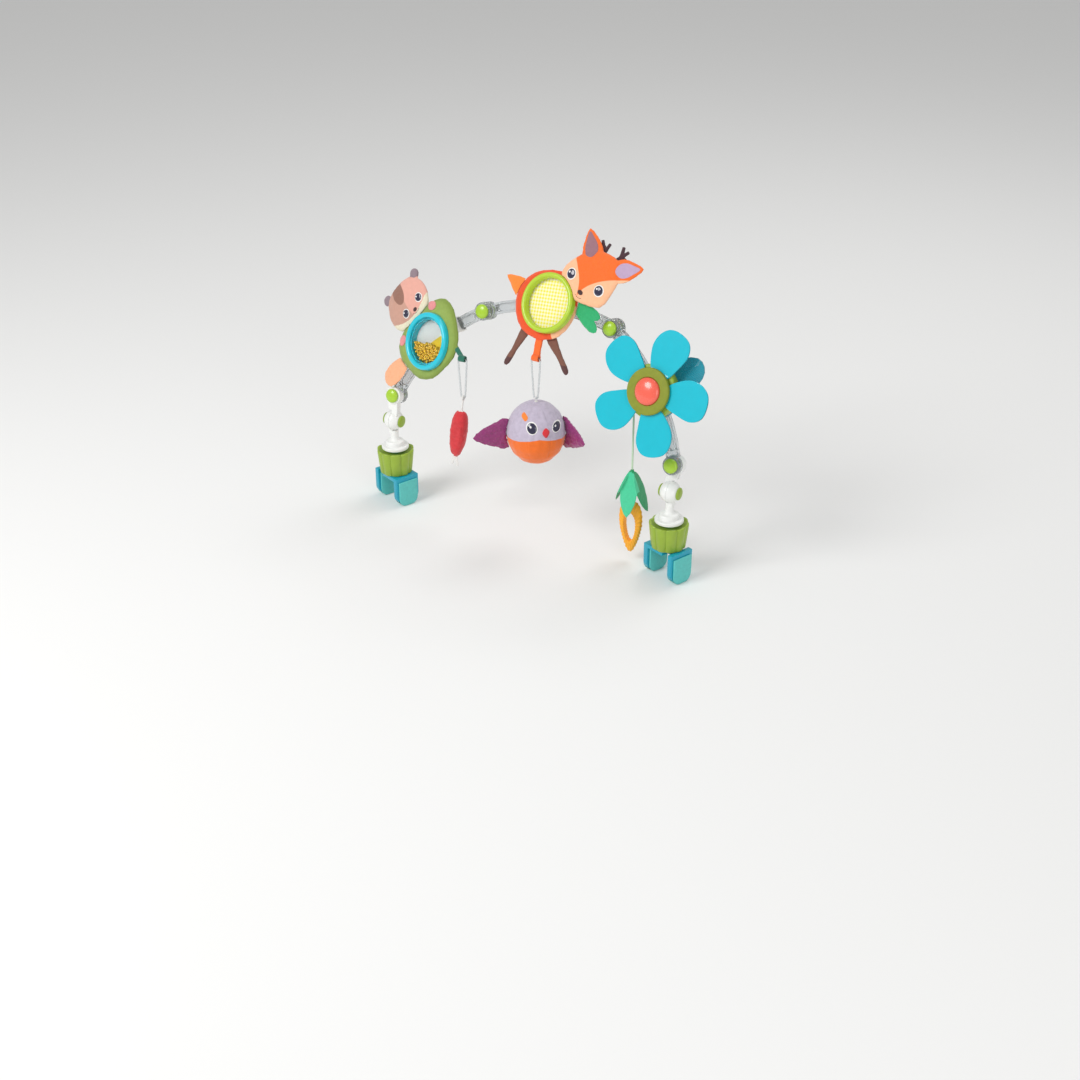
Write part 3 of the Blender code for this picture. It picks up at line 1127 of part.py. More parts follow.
def eye_lug():
    """A square lug on the case's edge, upright in the world, that the cord is moulded into."""
    middle = FLOWER.matrix_world @ LUG_MIDDLE
    half = LUG_SIZE / 2
    inward = FLOWER.matrix_world @ Vector((CENTRE[0] + CASE_BORE * cos(CARROT_ANCHOR_TURN),
                                           CENTRE[1] + CASE_BORE * sin(CARROT_ANCHOR_TURN), LUG_MIDDLE.z))
    block_shape = block(middle - Vector((half, half, half)), middle + Vector((half, half, half)))
    arm = ribbon(inward, middle, LUG_SIZE * 0.9, LUG_SIZE * 0.7)
    trimmed = combined(in_world(block_shape, FLOWER), joins=(in_world(arm, FLOWER),),
                       cuts=(disc(CASE_BORE, 0, CASE_SPLIT * 2, CENTRE),))
    return trimmed


def battery_door():
    low = CASE_BACK
    plate = block((-DOOR_HALF_WIDTH + GAP, DOOR_LOW + GAP, low),
                  (DOOR_HALF_WIDTH - GAP, DOOR_HIGH - GAP, low + CASE_WALL))
    bore = disc(SCREW_SHANK_RADIUS + GAP, 0, low + OVERRUN, (0, SCREW_RISE), 12)
    sink = disc(SCREW_HEAD_RADIUS + GAP, 0, low + SCREW_HEAD_HEIGHT + GAP, (0, SCREW_RISE), 12)
    return combined(plate, cuts=(bore, sink))


def door_screw():
    low = CASE_BACK
    profile = ((0, low), (SCREW_HEAD_RADIUS, low), (SCREW_HEAD_RADIUS, low + SCREW_HEAD_HEIGHT),
               (SCREW_SHANK_RADIUS, low + SCREW_HEAD_HEIGHT), (SCREW_SHANK_RADIUS, low + SCREW_LENGTH),
               (0, low + SCREW_LENGTH))
    return turned(profile, 12)


def cell():
    low = CASE_BACK + CASE_WALL + GAP
    return turned(((0, low), (CELL_RADIUS - GAP, low), (CELL_RADIUS, low + GAP),
                   (CELL_RADIUS, low + CELL_HEIGHT), (0, low + CELL_HEIGHT)), 16)


def speaker():
    low = CASE_BACK + CASE_WALL + GAP
    return turned(((0, low), (SPEAKER_RADIUS, low), (SPEAKER_RADIUS, low + SPEAKER_DEPTH / 2),
                   (SPEAKER_RADIUS * 0.7, low + SPEAKER_DEPTH), (0, low + SPEAKER_DEPTH)), 16)


BOARD_BACK = CASE_BACK + CASE_WALL + GAP * 2 + CELL_HEIGHT

piece("flower_petals", flower_petals(), FLOWER, TURQUOISE, (*CENTRE, 0))
piece("flower_bezel", flower_bezel(), FLOWER, DEEP_OLIVE, (*CENTRE, 0))
piece("music_button", music_button(), FLOWER, CORAL, (*CENTRE, 0))
piece("case_front", case_front(), FLOWER, OLIVE, (*CENTRE, 0))
piece("case_rear", case_rear(), FLOWER, TURQUOISE)
piece("battery_door", battery_door(), FLOWER, TURQUOISE, (*CENTRE, 0))
piece("door_screw", door_screw(), FLOWER, STEEL, (CENTRE[0], CENTRE[1] + SCREW_RISE, 0))
for cell_name, side in (("cell_1", -1), ("cell_2", 1)):
    piece(cell_name, cell(), FLOWER, STEEL, (CENTRE[0] + side * CELL_SPREAD, CENTRE[1] + CELL_RISE, 0))
piece("speaker", speaker(), FLOWER, BLACK, (CENTRE[0], CENTRE[1] - SPEAKER_DROP, 0))
board = disc(BOARD_RADIUS, BOARD_BACK, BOARD_BACK + BOARD_THICKNESS, steps=24)
piece("circuit_board", board, FLOWER, BOARD_GREEN, (*CENTRE, 0))


# The hanging toys, drawn in world axes from the pivots that carry them
def hanger():
    """A tapered clear clip: a closed bar round the tab above and the toy's loop below."""
    top = HANGER_TOP_WIDTH / 2 - CLIP_BAR_RADIUS
    foot = HANGER_FOOT_WIDTH / 2 - CLIP_BAR_RADIUS
    length = HANGER_LENGTH
    bend = CLIP_BAR_RADIUS * 1.4
    side = [(top - bend, 0), (top - bend * 0.25, -bend * 0.3), (top, -bend),
            (top * 0.78 + foot * 0.22, -length * 0.3), (top * 0.3 + foot * 0.7, -length * 0.7),
            (foot, -length + foot), (foot * 0.7, -length + foot * 0.3)]
    path = [(x, 0, z) for x, z in side] + [(0, 0, -length)] + [(-x, 0, z) for x, z in reversed(side)]
    return tube_along(path, [CLIP_BAR_RADIUS] * len(path), 8, closed=True)


def toy_loop(stretch):
    """The cord loop on a hanging toy: an eye round the clip's foot and a stem down to the toy."""
    ring = eye_ring((0, 0, 0), LOOP_EYE_RADIUS, LOOP_WALL, LOOP_WIDTH)
    stem = ribbon(Vector((0, 0, -LOOP_EYE_RADIUS - LOOP_WALL / 2)), Vector((0, 0, -stretch)),
                  LOOP_WIDTH * 0.9, LOOP_WALL * 1.4)
    return [ring, stem]


RADISH_SHARES = mirrored(((0, 0.5), (0.26, 0.48), (0.46, 0.32), (0.5, 0.05), (0.44, -0.24), (0.24, -0.46),
                          (0, -0.5)))
WING_SHARES = ((0, 0.5), (0.35, 0.42), (0.72, 0.22), (1, -0.06), (0.7, -0.3), (0.36, -0.44), (0, -0.5))
LEAF_SHARES = ((0, -0.04), (0.3, -0.16), (0.5, -0.42), (0.44, -0.72), (0.1, -1), (-0.3, -0.8), (-0.48, -0.48),
               (-0.3, -0.16))
CARROT_SHARES = mirrored(((0, 0.5), (0.3, 0.47), (0.48, 0.3), (0.5, 0.05), (0.36, -0.22), (0.16, -0.44),
                          (0, -0.5)))
CARROT_HOLE_SHARES = mirrored(((0, 0.5), (0.42, 0.34), (0.5, 0), (0.3, -0.36), (0, -0.5)))


def radish():
    """The padded red pod, with the two ends of its white root ribbon below."""
    drop = LOOP_EYE_RADIUS + RADISH_CORD
    outline = smooth_outline(scaled(RADISH_SHARES, RADISH_WIDTH, RADISH_LENGTH), 2)
    rise = RADISH_THICKNESS / 2 - SEAM_EDGE / 2
    pod = moved(stuffed(outline, rise, rise), turn=(pi / 2, 0, 0), place=(0, 0, -drop - RADISH_LENGTH / 2))
    foot = Vector((0, 0, -drop - RADISH_LENGTH * 0.94))
    tips = [foot + Vector((side * RADISH_ROOT_WIDTH * 1.2, 0, -RADISH_ROOT_LENGTH)) for side in (-1, 1)]
    tails = [ribbon(foot, tip, RADISH_ROOT_WIDTH, LOOP_WALL) for tip in tips]
    loop, stem = toy_loop(drop + RADISH_LENGTH * 0.06)
    swayed = moved(combined(pod, joins=[stem, *tails]), turn=(0, RADISH_SWAY, 0))
    return combined(swayed, joins=(loop,))


def owl_ball(grow=0):
    steps = 10
    half = OWL_HEIGHT / 2 + grow
    round_side = [((OWL_RADIUS + grow) * sin(pi * k / steps), -half * cos(pi * k / steps))
                  for k in range(1, steps)]
    return turned([(0, -half), *round_side, (0, half)], 20)


OWL_DROP = LOOP_EYE_RADIUS + LOOP_WALL + OWL_HEIGHT / 2 + GAP


def owl_body():
    return combined(moved(owl_ball(), place=(0, 0, -OWL_DROP)), joins=toy_loop(OWL_DROP - OWL_HEIGHT * 0.45))


def owl_wing(side):
    outline = smooth_outline([(side * WING_LENGTH * x, WING_WIDTH * y) for x, y in WING_SHARES], 2)
    wing = stuffed(outline, CROWN / 2, CROWN / 2, shares=FLAT_SHARES)
    sweep = LEFT_WING_SWEEP if side < 0 else RIGHT_WING_SWEEP
    wing = moved(wing, turn=(pi / 2, 0, sweep), place=(side * OWL_RADIUS * 0.9, 0, -OWL_DROP))
    wing = combined(wing, cuts=(moved(owl_ball(GAP), place=(0, 0, -OWL_DROP)),))
    return moved(wing, turn=(0, 0, OWL_TURN))


LEAF_SETTINGS = ((0, radians(14), 1), (radians(95), radians(20), 0.95), (radians(-85), radians(22), 0.8))


def carrot_leaves():
    """Felt leaves round a short stem, sewn over the carrot's shoulder."""
    stem_foot = -LEAF_SPRIG_LENGTH * 0.7
    stem = turned(((0, stem_foot), (LOOP_EYE_RADIUS, stem_foot), (LOOP_EYE_RADIUS, 0), (0, 0)), 12)
    leaves = []
    for spin, lean, share in LEAF_SETTINGS:
        outline = smooth_outline(scaled(LEAF_SHARES, LEAF_SPRIG_WIDTH, LEAF_SPRIG_LENGTH * share), 2)
        blade = stuffed(outline, SEAM_EDGE / 4, SEAM_EDGE / 4, centre=(0, -LEAF_SPRIG_LENGTH * share / 2),
                        shares=FLAT_SHARES)
        blade = moved(blade, turn=(pi / 2 - lean, 0, 0), place=(0, -LOOP_EYE_RADIUS * 0.8, 0))
        leaves.append(moved(blade, turn=(0, 0, spin)))
    return combined(stem, joins=leaves)


def carrot_ring():
    """The ribbed amber teether: a carrot with a long hole through it."""
    outline = smooth_outline(scaled(CARROT_SHARES, CARROT_RING_WIDTH, CARROT_RING_LENGTH), 2)
    body = stuffed(outline, CARROT_BAR_RADIUS, CARROT_BAR_RADIUS)
    hole = slab(smooth_outline(scaled(CARROT_HOLE_SHARES, CARROT_RING_WIDTH - CARROT_BAR_WIDTH * 2,
                                      CARROT_RING_LENGTH - CARROT_BAR_WIDTH * 4), 2), -OVERRUN, OVERRUN)
    drop = LEAF_SPRIG_LENGTH * 0.7 + GAP + CARROT_RING_LENGTH / 2
    return moved(combined(body, cuts=(hole,)), turn=(pi / 2, 0, 0), place=(0, 0, -drop))


for toy, pivot in (("radish", BEAR_TAB_PIVOT), ("owl", DEER_TAB_PIVOT)):
    clip_frame = frame(toy + "_clip_frame", None, pivot)
    toy_frame_here = frame(toy + "_frame", clip_frame, (0, 0, -HANGER_LENGTH))
    piece(toy + "_clip", hanger(), clip_frame, CLEAR)
    if toy == "radish":
        piece("radish_body", radish(), toy_frame_here, RED)
    else:
        piece("owl_body", owl_body(), toy_frame_here, GREY)
        piece("owl_left_wing", owl_wing(-1), toy_frame_here, MAGENTA)
        piece("owl_right_wing", owl_wing(1), toy_frame_here, MAGENTA)

CORD_TOP = FLOWER.matrix_world @ LUG_MIDDLE - Vector((0, 0, LUG_SIZE / 2 + GAP * 2))
CARROT_HANG = frame("carrot_frame", None, CORD_TOP)


def carrot_string():
    count = ceil(CARROT_CORD_LENGTH / (CARROT_CORD_RADIUS * 5))
    curve = bpy.data.curves.new("carrot_string", "CURVE")
    curve.dimensions = "3D"
    curve.bevel_depth = CARROT_CORD_RADIUS
    curve.bevel_resolution = 2
    curve.use_fill_caps = True
    spline = curve.splines.new("POLY")
    spline.points.add(count)
    for index, point in enumerate(spline.points):
        point.co = (0, 0, -CARROT_CORD_LENGTH * index / count, 1)
    curve.materials.append(MINT_CORD)
    made = bpy.data.objects.new("carrot_string", curve)
    bpy.context.scene.collection.objects.link(made)
    made.parent = CARROT_HANG


carrot_string()
CARROT = frame("carrot_toy_frame", CARROT_HANG, (0, 0, -CARROT_CORD_LENGTH - GAP))
piece("carrot_leaves", carrot_leaves(), CARROT, LEAF_GREEN)
piece("carrot_ring", carrot_ring(), CARROT, AMBER)
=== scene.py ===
# A musical toy arch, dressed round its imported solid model. Three clear links between two screw
# clamps carry a bear rattle, a deer and a music flower.
import bpy
import bmesh
import json
import random
from math import acos, asin, cos, pi, radians, sin
from mathutils import Euler, Matrix, Vector
from mathutils.bvhtree import BVHTree
from mathutils.noise import noise as ripple


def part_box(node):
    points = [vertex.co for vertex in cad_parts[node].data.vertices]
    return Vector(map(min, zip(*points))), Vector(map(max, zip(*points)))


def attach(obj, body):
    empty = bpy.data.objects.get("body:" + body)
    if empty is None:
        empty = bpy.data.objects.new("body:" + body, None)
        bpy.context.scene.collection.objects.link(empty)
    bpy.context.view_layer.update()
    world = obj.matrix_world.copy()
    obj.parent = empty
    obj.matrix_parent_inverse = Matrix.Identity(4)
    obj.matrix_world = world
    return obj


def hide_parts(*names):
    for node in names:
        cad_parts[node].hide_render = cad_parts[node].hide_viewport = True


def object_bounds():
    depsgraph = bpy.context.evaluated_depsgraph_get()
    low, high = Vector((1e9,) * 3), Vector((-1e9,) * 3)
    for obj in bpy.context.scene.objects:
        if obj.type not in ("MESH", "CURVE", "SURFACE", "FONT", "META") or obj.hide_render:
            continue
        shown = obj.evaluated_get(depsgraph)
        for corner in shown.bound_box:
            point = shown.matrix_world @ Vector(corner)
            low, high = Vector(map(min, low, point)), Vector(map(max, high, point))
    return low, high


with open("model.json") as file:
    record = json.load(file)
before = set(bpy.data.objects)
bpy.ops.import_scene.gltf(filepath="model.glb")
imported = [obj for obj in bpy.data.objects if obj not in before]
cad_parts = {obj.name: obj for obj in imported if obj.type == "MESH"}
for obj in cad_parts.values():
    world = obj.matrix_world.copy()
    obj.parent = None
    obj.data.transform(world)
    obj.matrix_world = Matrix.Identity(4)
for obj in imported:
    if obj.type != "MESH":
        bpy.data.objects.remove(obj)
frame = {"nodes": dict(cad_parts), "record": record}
CAD_BOX = [list(corner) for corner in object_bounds()]


# The set: a pale seamless floor at the height of the clamps' tips, lit by three large soft
# lamps, with the camera above and to the right of the front, at the photograph's angle.
MM = 0.001
SET_MIDDLE = Vector((-0.175, 0.01, 0.15))
SOFTBOXES = (("key_softbox", (-0.9, -1.5, 1.5), 1.1, 25), ("fill_softbox", (1.5, -1.2, 0.7), 1.2, 7),
             ("top_softbox", (0.1, 1.0, 1.7), 1.0, 8))
WORLD_STRENGTH = 0.52
FLOOR_REACH = 6.0
FLOOR_GAP = 0.1 * MM
FLOOR_GREY = (0.86, 0.86, 0.85, 1.0)
FLOOR_ROUGHNESS = 0.9
VIEW_AZIMUTH = radians(31.0)
VIEW_ELEVATION = radians(28.5)
VIEW_DISTANCE = 1.85
VIEW_AIM = Vector((-0.156, -0.004, -0.030))
VIEW_LENS = 55.5
scene = bpy.context.scene


def in_scene(name, data):
    """An object for this data, linked to the scene."""
    made = bpy.data.objects.new(name, data)
    scene.collection.objects.link(made)
    return made


def mesh_from(name, shape):
    """A new mesh that takes over a bmesh's shape."""
    mesh = bpy.data.meshes.new(name)
    shape.to_mesh(mesh)
    shape.free()
    return mesh


def shader_of(made):
    """The surface shader of a material."""
    return made.node_tree.nodes["Principled BSDF"]


for name, place, size, power in SOFTBOXES:
    lamp = bpy.data.lights.new(name, "AREA")
    lamp.energy = power
    lamp.shape = "DISK"
    lamp.size = size
    softbox = in_scene(name, lamp)
    softbox.location = place
    softbox.rotation_euler = (SET_MIDDLE - Vector(place)).to_track_quat("-Z", "Y").to_euler()

world = bpy.data.worlds.new("studio")
world.use_nodes = True
world_light = world.node_tree.nodes["Background"].inputs
world_light["Color"].default_value = (1.0, 1.0, 1.0, 1.0)
world_light["Strength"].default_value = WORLD_STRENGTH
scene.world = world
scene.view_settings.view_transform = "Standard"

floor_shape = bmesh.new()
bmesh.ops.create_grid(floor_shape, x_segments=1, y_segments=1, size=FLOOR_REACH)
bmesh.ops.translate(floor_shape, vec=(0, 0, CAD_BOX[0][2] - FLOOR_GAP), verts=floor_shape.verts)
floor = in_scene("studio_floor", mesh_from("studio_floor", floor_shape))
floor_paint = bpy.data.materials.new("pale_floor")
floor_paint.use_nodes = True
shader_of(floor_paint).inputs["Base Color"].default_value = FLOOR_GREY
shader_of(floor_paint).inputs["Roughness"].default_value = FLOOR_ROUGHNESS
floor.data.materials.append(floor_paint)

lens = bpy.data.cameras.new("camera")
lens.lens = VIEW_LENS
camera = in_scene("camera", lens)
back = Vector((sin(VIEW_AZIMUTH) * cos(VIEW_ELEVATION), -cos(VIEW_AZIMUTH) * cos(VIEW_ELEVATION),
               sin(VIEW_ELEVATION)))
camera.location = VIEW_AIM + back * VIEW_DISTANCE
camera.rotation_euler = (-back).to_track_quat("-Z", "Y").to_euler()
scene.camera = camera


# The clamps: each grips a rail between two cyan jaws under soft mint covers. They are satin
# mouldings with slightly rounded edges; the covers are a soft rubber with a fine pebble grain.
record = frame["record"]
CARRIER = {node: body for body, nodes in record["behaviour"]["bodies"].items() for node in nodes}
WELD = 0.005 * MM
MOULD_EDGE = 0.35
COVER_EDGE = 0.6


def linear(level):
    """One screen colour level, 0 to 255, as the linear value that a shader takes."""
    share = level / 255
    return share / 12.92 if share <= 0.04045 else ((share + 0.055) / 1.055) ** 2.4


def colour(levels, scale=1.0):
    """Three screen levels as a shader's colour, a little lighter or darker."""
    return (*(min(1.0, linear(level) * scale) for level in levels), 1.0)


def add(made, kind, inputs, **settings):
    """A shader node with its settings, values and links in one call."""
    step = made.node_tree.nodes.new(kind)
    for key, value in settings.items():
        setattr(step, key, value)
    for key, value in inputs.items():
        if isinstance(value, bpy.types.NodeSocket):
            made.node_tree.links.new(value, step.inputs[key])
        else:
            step.inputs[key].default_value = value
    return step


def noise(made, size, detail=2.0):
    """Noise whose patches are about this many millimetres across."""
    spots = add(made, "ShaderNodeTexCoord", {}).outputs["Object"]
    return add(made, "ShaderNodeTexNoise", {"Vector": spots, "Scale": 1 / (size * MM),
                                            "Detail": detail}).outputs["Fac"]


def tinted(made, levels, tint, patch):
    """A colour that drifts a little lighter and darker over patches in millimetres."""
    mix = add(made, "ShaderNodeMix", {0: noise(made, patch, 3.0), 6: colour(levels, 1 - tint),
                                      7: colour(levels, 1 + tint)}, data_type="RGBA")
    return mix.outputs[2]


def finish(name, levels, roughness, tint=0.06, patch=9, grain=0.6, depth=0.02, **sockets):
    """A surface with drifting tint and gloss over a fine grain; its sizes are in millimetres."""
    made = bpy.data.materials.new(name)
    made.use_nodes = True
    shader = shader_of(made)
    links = made.node_tree.links
    links.new(tinted(made, levels, tint, patch), shader.inputs["Base Color"])
    gloss = add(made, "ShaderNodeMapRange", {0: noise(made, patch / 3), 1: 0.3, 2: 0.7,
                                             3: roughness * 0.85, 4: min(1.0, roughness * 1.15)})
    links.new(gloss.outputs[0], shader.inputs["Roughness"])
    relief = add(made, "ShaderNodeBump", {"Strength": 0.6, "Distance": depth * MM,
                                          "Height": noise(made, grain)})
    links.new(relief.outputs[0], shader.inputs["Normal"])
    for socket, value in sockets.items():
        shader.inputs[socket.replace("_", " ")].default_value = value
    return made


CYAN = finish("cyan_moulding", (8, 160, 186), 0.34, Coat_Weight=0.25, Coat_Roughness=0.2)
MINT = finish("mint_soft_cover", (92, 196, 190), 0.5, tint=0.14, patch=3, grain=1.5, depth=0.3)


def copy_of(node):
    """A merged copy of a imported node's mesh."""
    shape = bmesh.new()
    shape.from_mesh(frame["nodes"][node].data)
    bmesh.ops.remove_doubles(shape, verts=shape.verts, dist=WELD)
    return shape


def piece(name, shape, materials, body, sharp=40):
    """A finished piece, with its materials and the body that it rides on."""
    mesh = mesh_from(name, shape)
    mesh.shade_smooth()
    mesh.set_sharp_from_angle(angle=radians(sharp))
    for material in materials if isinstance(materials, list) else [materials]:
        mesh.materials.append(material)
    made = in_scene(name, mesh)
    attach(made, body)
    return made


def dress(node, shape, materials, word="moulding", sharp=40):
    """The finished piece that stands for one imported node."""
    made = piece(f"{node}_{word}", shape, materials, CARRIER[node], sharp)
    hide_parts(node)
    return made


def rounded(node, material, edge=MOULD_EDGE, angle=32):
    """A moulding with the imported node's shape and small rounded edges, in millimetres."""
    shape = copy_of(node)
    bmesh.ops.dissolve_limit(shape, angle_limit=radians(1), verts=shape.verts, edges=shape.edges)
    crisp = [line for line in shape.edges
             if len(line.link_faces) == 2 and line.calc_face_angle(0) > radians(angle)]
    bmesh.ops.bevel(shape, geom=crisp, offset=edge * MM, offset_type="OFFSET", segments=2, profile=0.5,
                    affect="EDGES", material=-1, clamp_overlap=True)
    bmesh.ops.triangulate(shape, faces=[face for face in shape.faces if len(face.verts) > 4])
    return dress(node, shape, material)


for side in ("left", "right"):
    rounded(f"{side}_clamp_body", CYAN)
    rounded(f"{side}_clamp_jaw", CYAN)
    rounded(f"{side}_fixed_pad", MINT, COVER_EDGE)
    rounded(f"{side}_moving_pad", MINT, COVER_EDGE)


# The screw collars: olive hand screws that draw the jaws together. Each is a broad-fluted
# ring, wider at its top, with a scalloped rim round the foot of the white dome.
JOINT = {joint["name"]: joint for joint in record["behaviour"]["joints"]}
OLIVE = finish("olive_collar", (146, 174, 48), 0.4, tint=0.08, Coat_Weight=0.2, Coat_Roughness=0.25)
COLLAR_TOP_RADIUS = 21.3 * MM
COLLAR_FOOT_RADIUS = 18.5 * MM
COLLAR_WAIST_RADIUS = COLLAR_FOOT_RADIUS * 0.45 + COLLAR_TOP_RADIUS * 0.55
COLLAR_CHAMFER = 0.8 * MM
COLLAR_SHOULDER = 2.2 * MM
COLLAR_LIP = ((0.2, 0.5, 1), (0.9, 0, 1), (2.2, 0.3, 0.5))
COLLAR_BORE = 9.4 * MM
COLLAR_WELL = 16.4 * MM
WELL_LEAD = 1.6 * MM
WELL_DEPTH = 2.4 * MM
COLLAR_FLUTES = 10
FLUTE_DEPTH = 1.5 * MM
FLUTE_STEPS = 16
RIM_RISE = 1.2 * MM


def clamp_axes(side):
    """A clamp's own axes, at its seat on the rail."""
    place = Vector((0, 0, 0)) if side == "right" else Vector((JOINT["left_lean"]["pos_m"][0], 0, 0))
    return Matrix.Translation(place) @ Matrix.Rotation(pi if side == "left" else 0, 4, "Z")


def placed(shape, axes):
    """The same bmesh, taken from its own axes into the world."""
    bmesh.ops.transform(shape, matrix=axes, verts=shape.verts)
    return shape


def fluted_collar(foot, top):
    """A ring extruded upwards in bands of radius, height, flute share and scallop share."""
    bands = [(COLLAR_FOOT_RADIUS - COLLAR_CHAMFER, foot, 1, 0),
             (COLLAR_FOOT_RADIUS, foot + COLLAR_CHAMFER, 1, 0),
             (COLLAR_WAIST_RADIUS, (foot + top) / 2, 1, 0), (COLLAR_TOP_RADIUS, top - COLLAR_SHOULDER, 1, 0)]
    bands += [(COLLAR_TOP_RADIUS - inward * MM, top - drop * MM, flute, 1)
              for inward, drop, flute in COLLAR_LIP]
    bands += [(COLLAR_WELL + WELL_LEAD, top - WELL_DEPTH / 2, 0, 0), (COLLAR_WELL, top - WELL_DEPTH, 0, 0),
              (COLLAR_BORE, top - WELL_DEPTH, 0, 0), (COLLAR_BORE, foot, 0, 0)]
    shape = bmesh.new()
    ring = bmesh.ops.create_circle(shape, segments=COLLAR_FLUTES * FLUTE_STEPS, radius=1.0)["verts"]
    edges = list(shape.edges)
    for number, (radius, height, flute, scallop) in enumerate(bands):
        if number:
            grown = bmesh.ops.extrude_edge_only(shape, edges=edges)["geom"]
            ring = [part for part in grown if isinstance(part, bmesh.types.BMVert)]
            edges = [part for part in grown if isinstance(part, bmesh.types.BMEdge)
                     and all(vert in ring for vert in part.verts)]
        for vert in ring:
            swing = Vector(vert.co.xy).normalized()
            turn = acos(max(-1, min(1, swing.x))) * COLLAR_FLUTES / 2
            wave = abs(sin(turn)) ** 0.6
            reach = radius - FLUTE_DEPTH * flute * (1 - wave)
            vert.co = (swing.x * reach, swing.y * reach, height + RIM_RISE * scallop * (wave - 1))
    bmesh.ops.bridge_loops(shape, edges=[edge for edge in shape.edges if edge.is_boundary])
    bmesh.ops.recalc_face_normals(shape, faces=shape.faces)
    return shape


for side in ("left", "right"):
    low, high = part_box(f"{side}_screw_collar")
    collar = placed(fluted_collar(low[2], high[2]), clamp_axes(side))
    dress(f"{side}_screw_collar", collar, OLIVE, sharp=50)


# The swivels: a white stepped dome turns on each clamp and ends in the lower half of a ball;
# the knuckle above is the ball's other half. Both are satin white mouldings.
WHITE = finish("white_moulding", (236, 237, 234), 0.3, tint=0.02, Coat_Weight=0.2, Coat_Roughness=0.2)
GAP = 0.3
DOME_CHAMFER = 0.5 * MM
DOME_FOOT_RADIUS = 15.5 * MM
DOME_FOOT_HEIGHT = 3.9 * MM
FOOT_ROUND = 1.4 * MM
FOOT_COVE = 0.7 * MM
DOME_STEP_RADIUS = 10.5 * MM
DOME_STEP_HEIGHT = 9.2 * MM
STEP_ROUND = 1.6 * MM
SPIGOT_BORE = 6.3 * MM
SPIGOT_DEPTH = 8.3 * MM
NECK_RADIUS = 4.5 * MM
NECK_COVE = 4.4 * MM
BALL_RADIUS = 11.5 * MM
BALL_FACE = 9.2 * MM
BALL_CHAMFER = 0.8 * MM
BALL_CHEEK = 0.15 * MM
RIVET_BORE = 3.3 * MM
BALL_HEIGHT = JOINT["right_lean"]["pos_m"][2]
WEB_THICK = 4.3 * MM
WEB_WIDE = 8.8 * MM
WEB_SHIFT = 2.3 * MM
WEB_BELOW_BALL = 4 * MM
WEB_BELOW_PIN = 5.4 * MM
KNUCKLE_EDGE = 0.5
UPRIGHT = Matrix.Rotation(pi / 2, 4, "Y")


def turned(profile, steps=64, hollow=False):
    """Spin (radius, height) points about Z; a hollow profile closes on itself."""
    shape = bmesh.new()
    corners = [shape.verts.new((radius, 0, height)) for radius, height in profile]
    edges = [shape.edges.new(pair) for pair in zip(corners, corners[1:])]
    if hollow:
        edges.append(shape.edges.new((corners[-1], corners[0])))
    bmesh.ops.spin(shape, geom=corners + edges, cent=(0, 0, 0), axis=(0, 0, 1), dvec=(0, 0, 0),
                   angle=2 * pi, steps=steps, use_merge=True, use_duplicate=False)
    bmesh.ops.remove_doubles(shape, verts=shape.verts, dist=0.001 * MM)
    bmesh.ops.recalc_face_normals(shape, faces=shape.faces)
    return shape


def arc(centre, radius, start, end, steps):
    """Points on a round stretch of a profile, between two angles in degrees."""
    swings = [radians(start + (end - start) * step / steps) for step in range(steps + 1)]
    return [(centre[0] + radius * cos(swing), centre[1] + radius * sin(swing)) for swing in swings]


def taken_from(guide, tools=()):
    """A bmesh of a guide as its modifiers shape it; the guide and its tools are then removed."""
    bpy.context.view_layer.update()
    shape = bmesh.new()
    shape.from_object(guide, bpy.context.evaluated_depsgraph_get())
    for used in (guide, *tools):
        mesh = used.data
        bpy.data.objects.remove(used, do_unlink=True)
        bpy.data.meshes.remove(mesh)
    return shape


def merged(base, joins=(), cuts=()):
    """Join shapes to a base and cut others from it, exactly."""
    guide, *tools = [in_scene("guide", mesh_from("guide", shape)) for shape in (base, *joins, *cuts)]
    for number, tool in enumerate(tools):
        step = guide.modifiers.new("step", "BOOLEAN")
        step.operation = "UNION" if number < len(joins) else "DIFFERENCE"
        step.solver = "EXACT"
        step.object = tool
    result = taken_from(guide, tools)
    bmesh.ops.remove_doubles(result, verts=result.verts, dist=0.002 * MM)
    return result


def half_ball():
    """Half a ball on +X with a round-edged flat cheek and a bore for its rivet."""
    cheek = asin(BALL_FACE / BALL_RADIUS) * 180 / pi
    skin = arc((0, 0), BALL_RADIUS, 1, cheek, 12)
    face = BALL_FACE + BALL_CHEEK
    return turned([(RIVET_BORE, skin[0][1]), *skin, (skin[-1][0] - BALL_CHAMFER, face), (RIVET_BORE, face)],
                  64, hollow=True)


def dome_profile(foot, neck_top):
    """The dome's two steps and its neck, round a bore for the clamp's spigot."""
    step = foot + DOME_FOOT_HEIGHT
    top = foot + DOME_STEP_HEIGHT
    return [(SPIGOT_BORE, foot), (DOME_FOOT_RADIUS - DOME_CHAMFER, foot),
            (DOME_FOOT_RADIUS, foot + DOME_CHAMFER),
            *arc((DOME_FOOT_RADIUS - FOOT_ROUND, step - FOOT_ROUND), FOOT_ROUND, 0, 90, 6),
            *arc((DOME_STEP_RADIUS + FOOT_COVE, step + FOOT_COVE), FOOT_COVE, 270, 180, 4),
            *arc((DOME_STEP_RADIUS - STEP_ROUND, top - STEP_ROUND), STEP_ROUND, 0, 90, 6),
            *arc((NECK_RADIUS + NECK_COVE, top + NECK_COVE), NECK_COVE, 270, 180, 8),
            (NECK_RADIUS, neck_top), (0, neck_top), (0, foot + SPIGOT_DEPTH),
            (SPIGOT_BORE, foot + SPIGOT_DEPTH)]


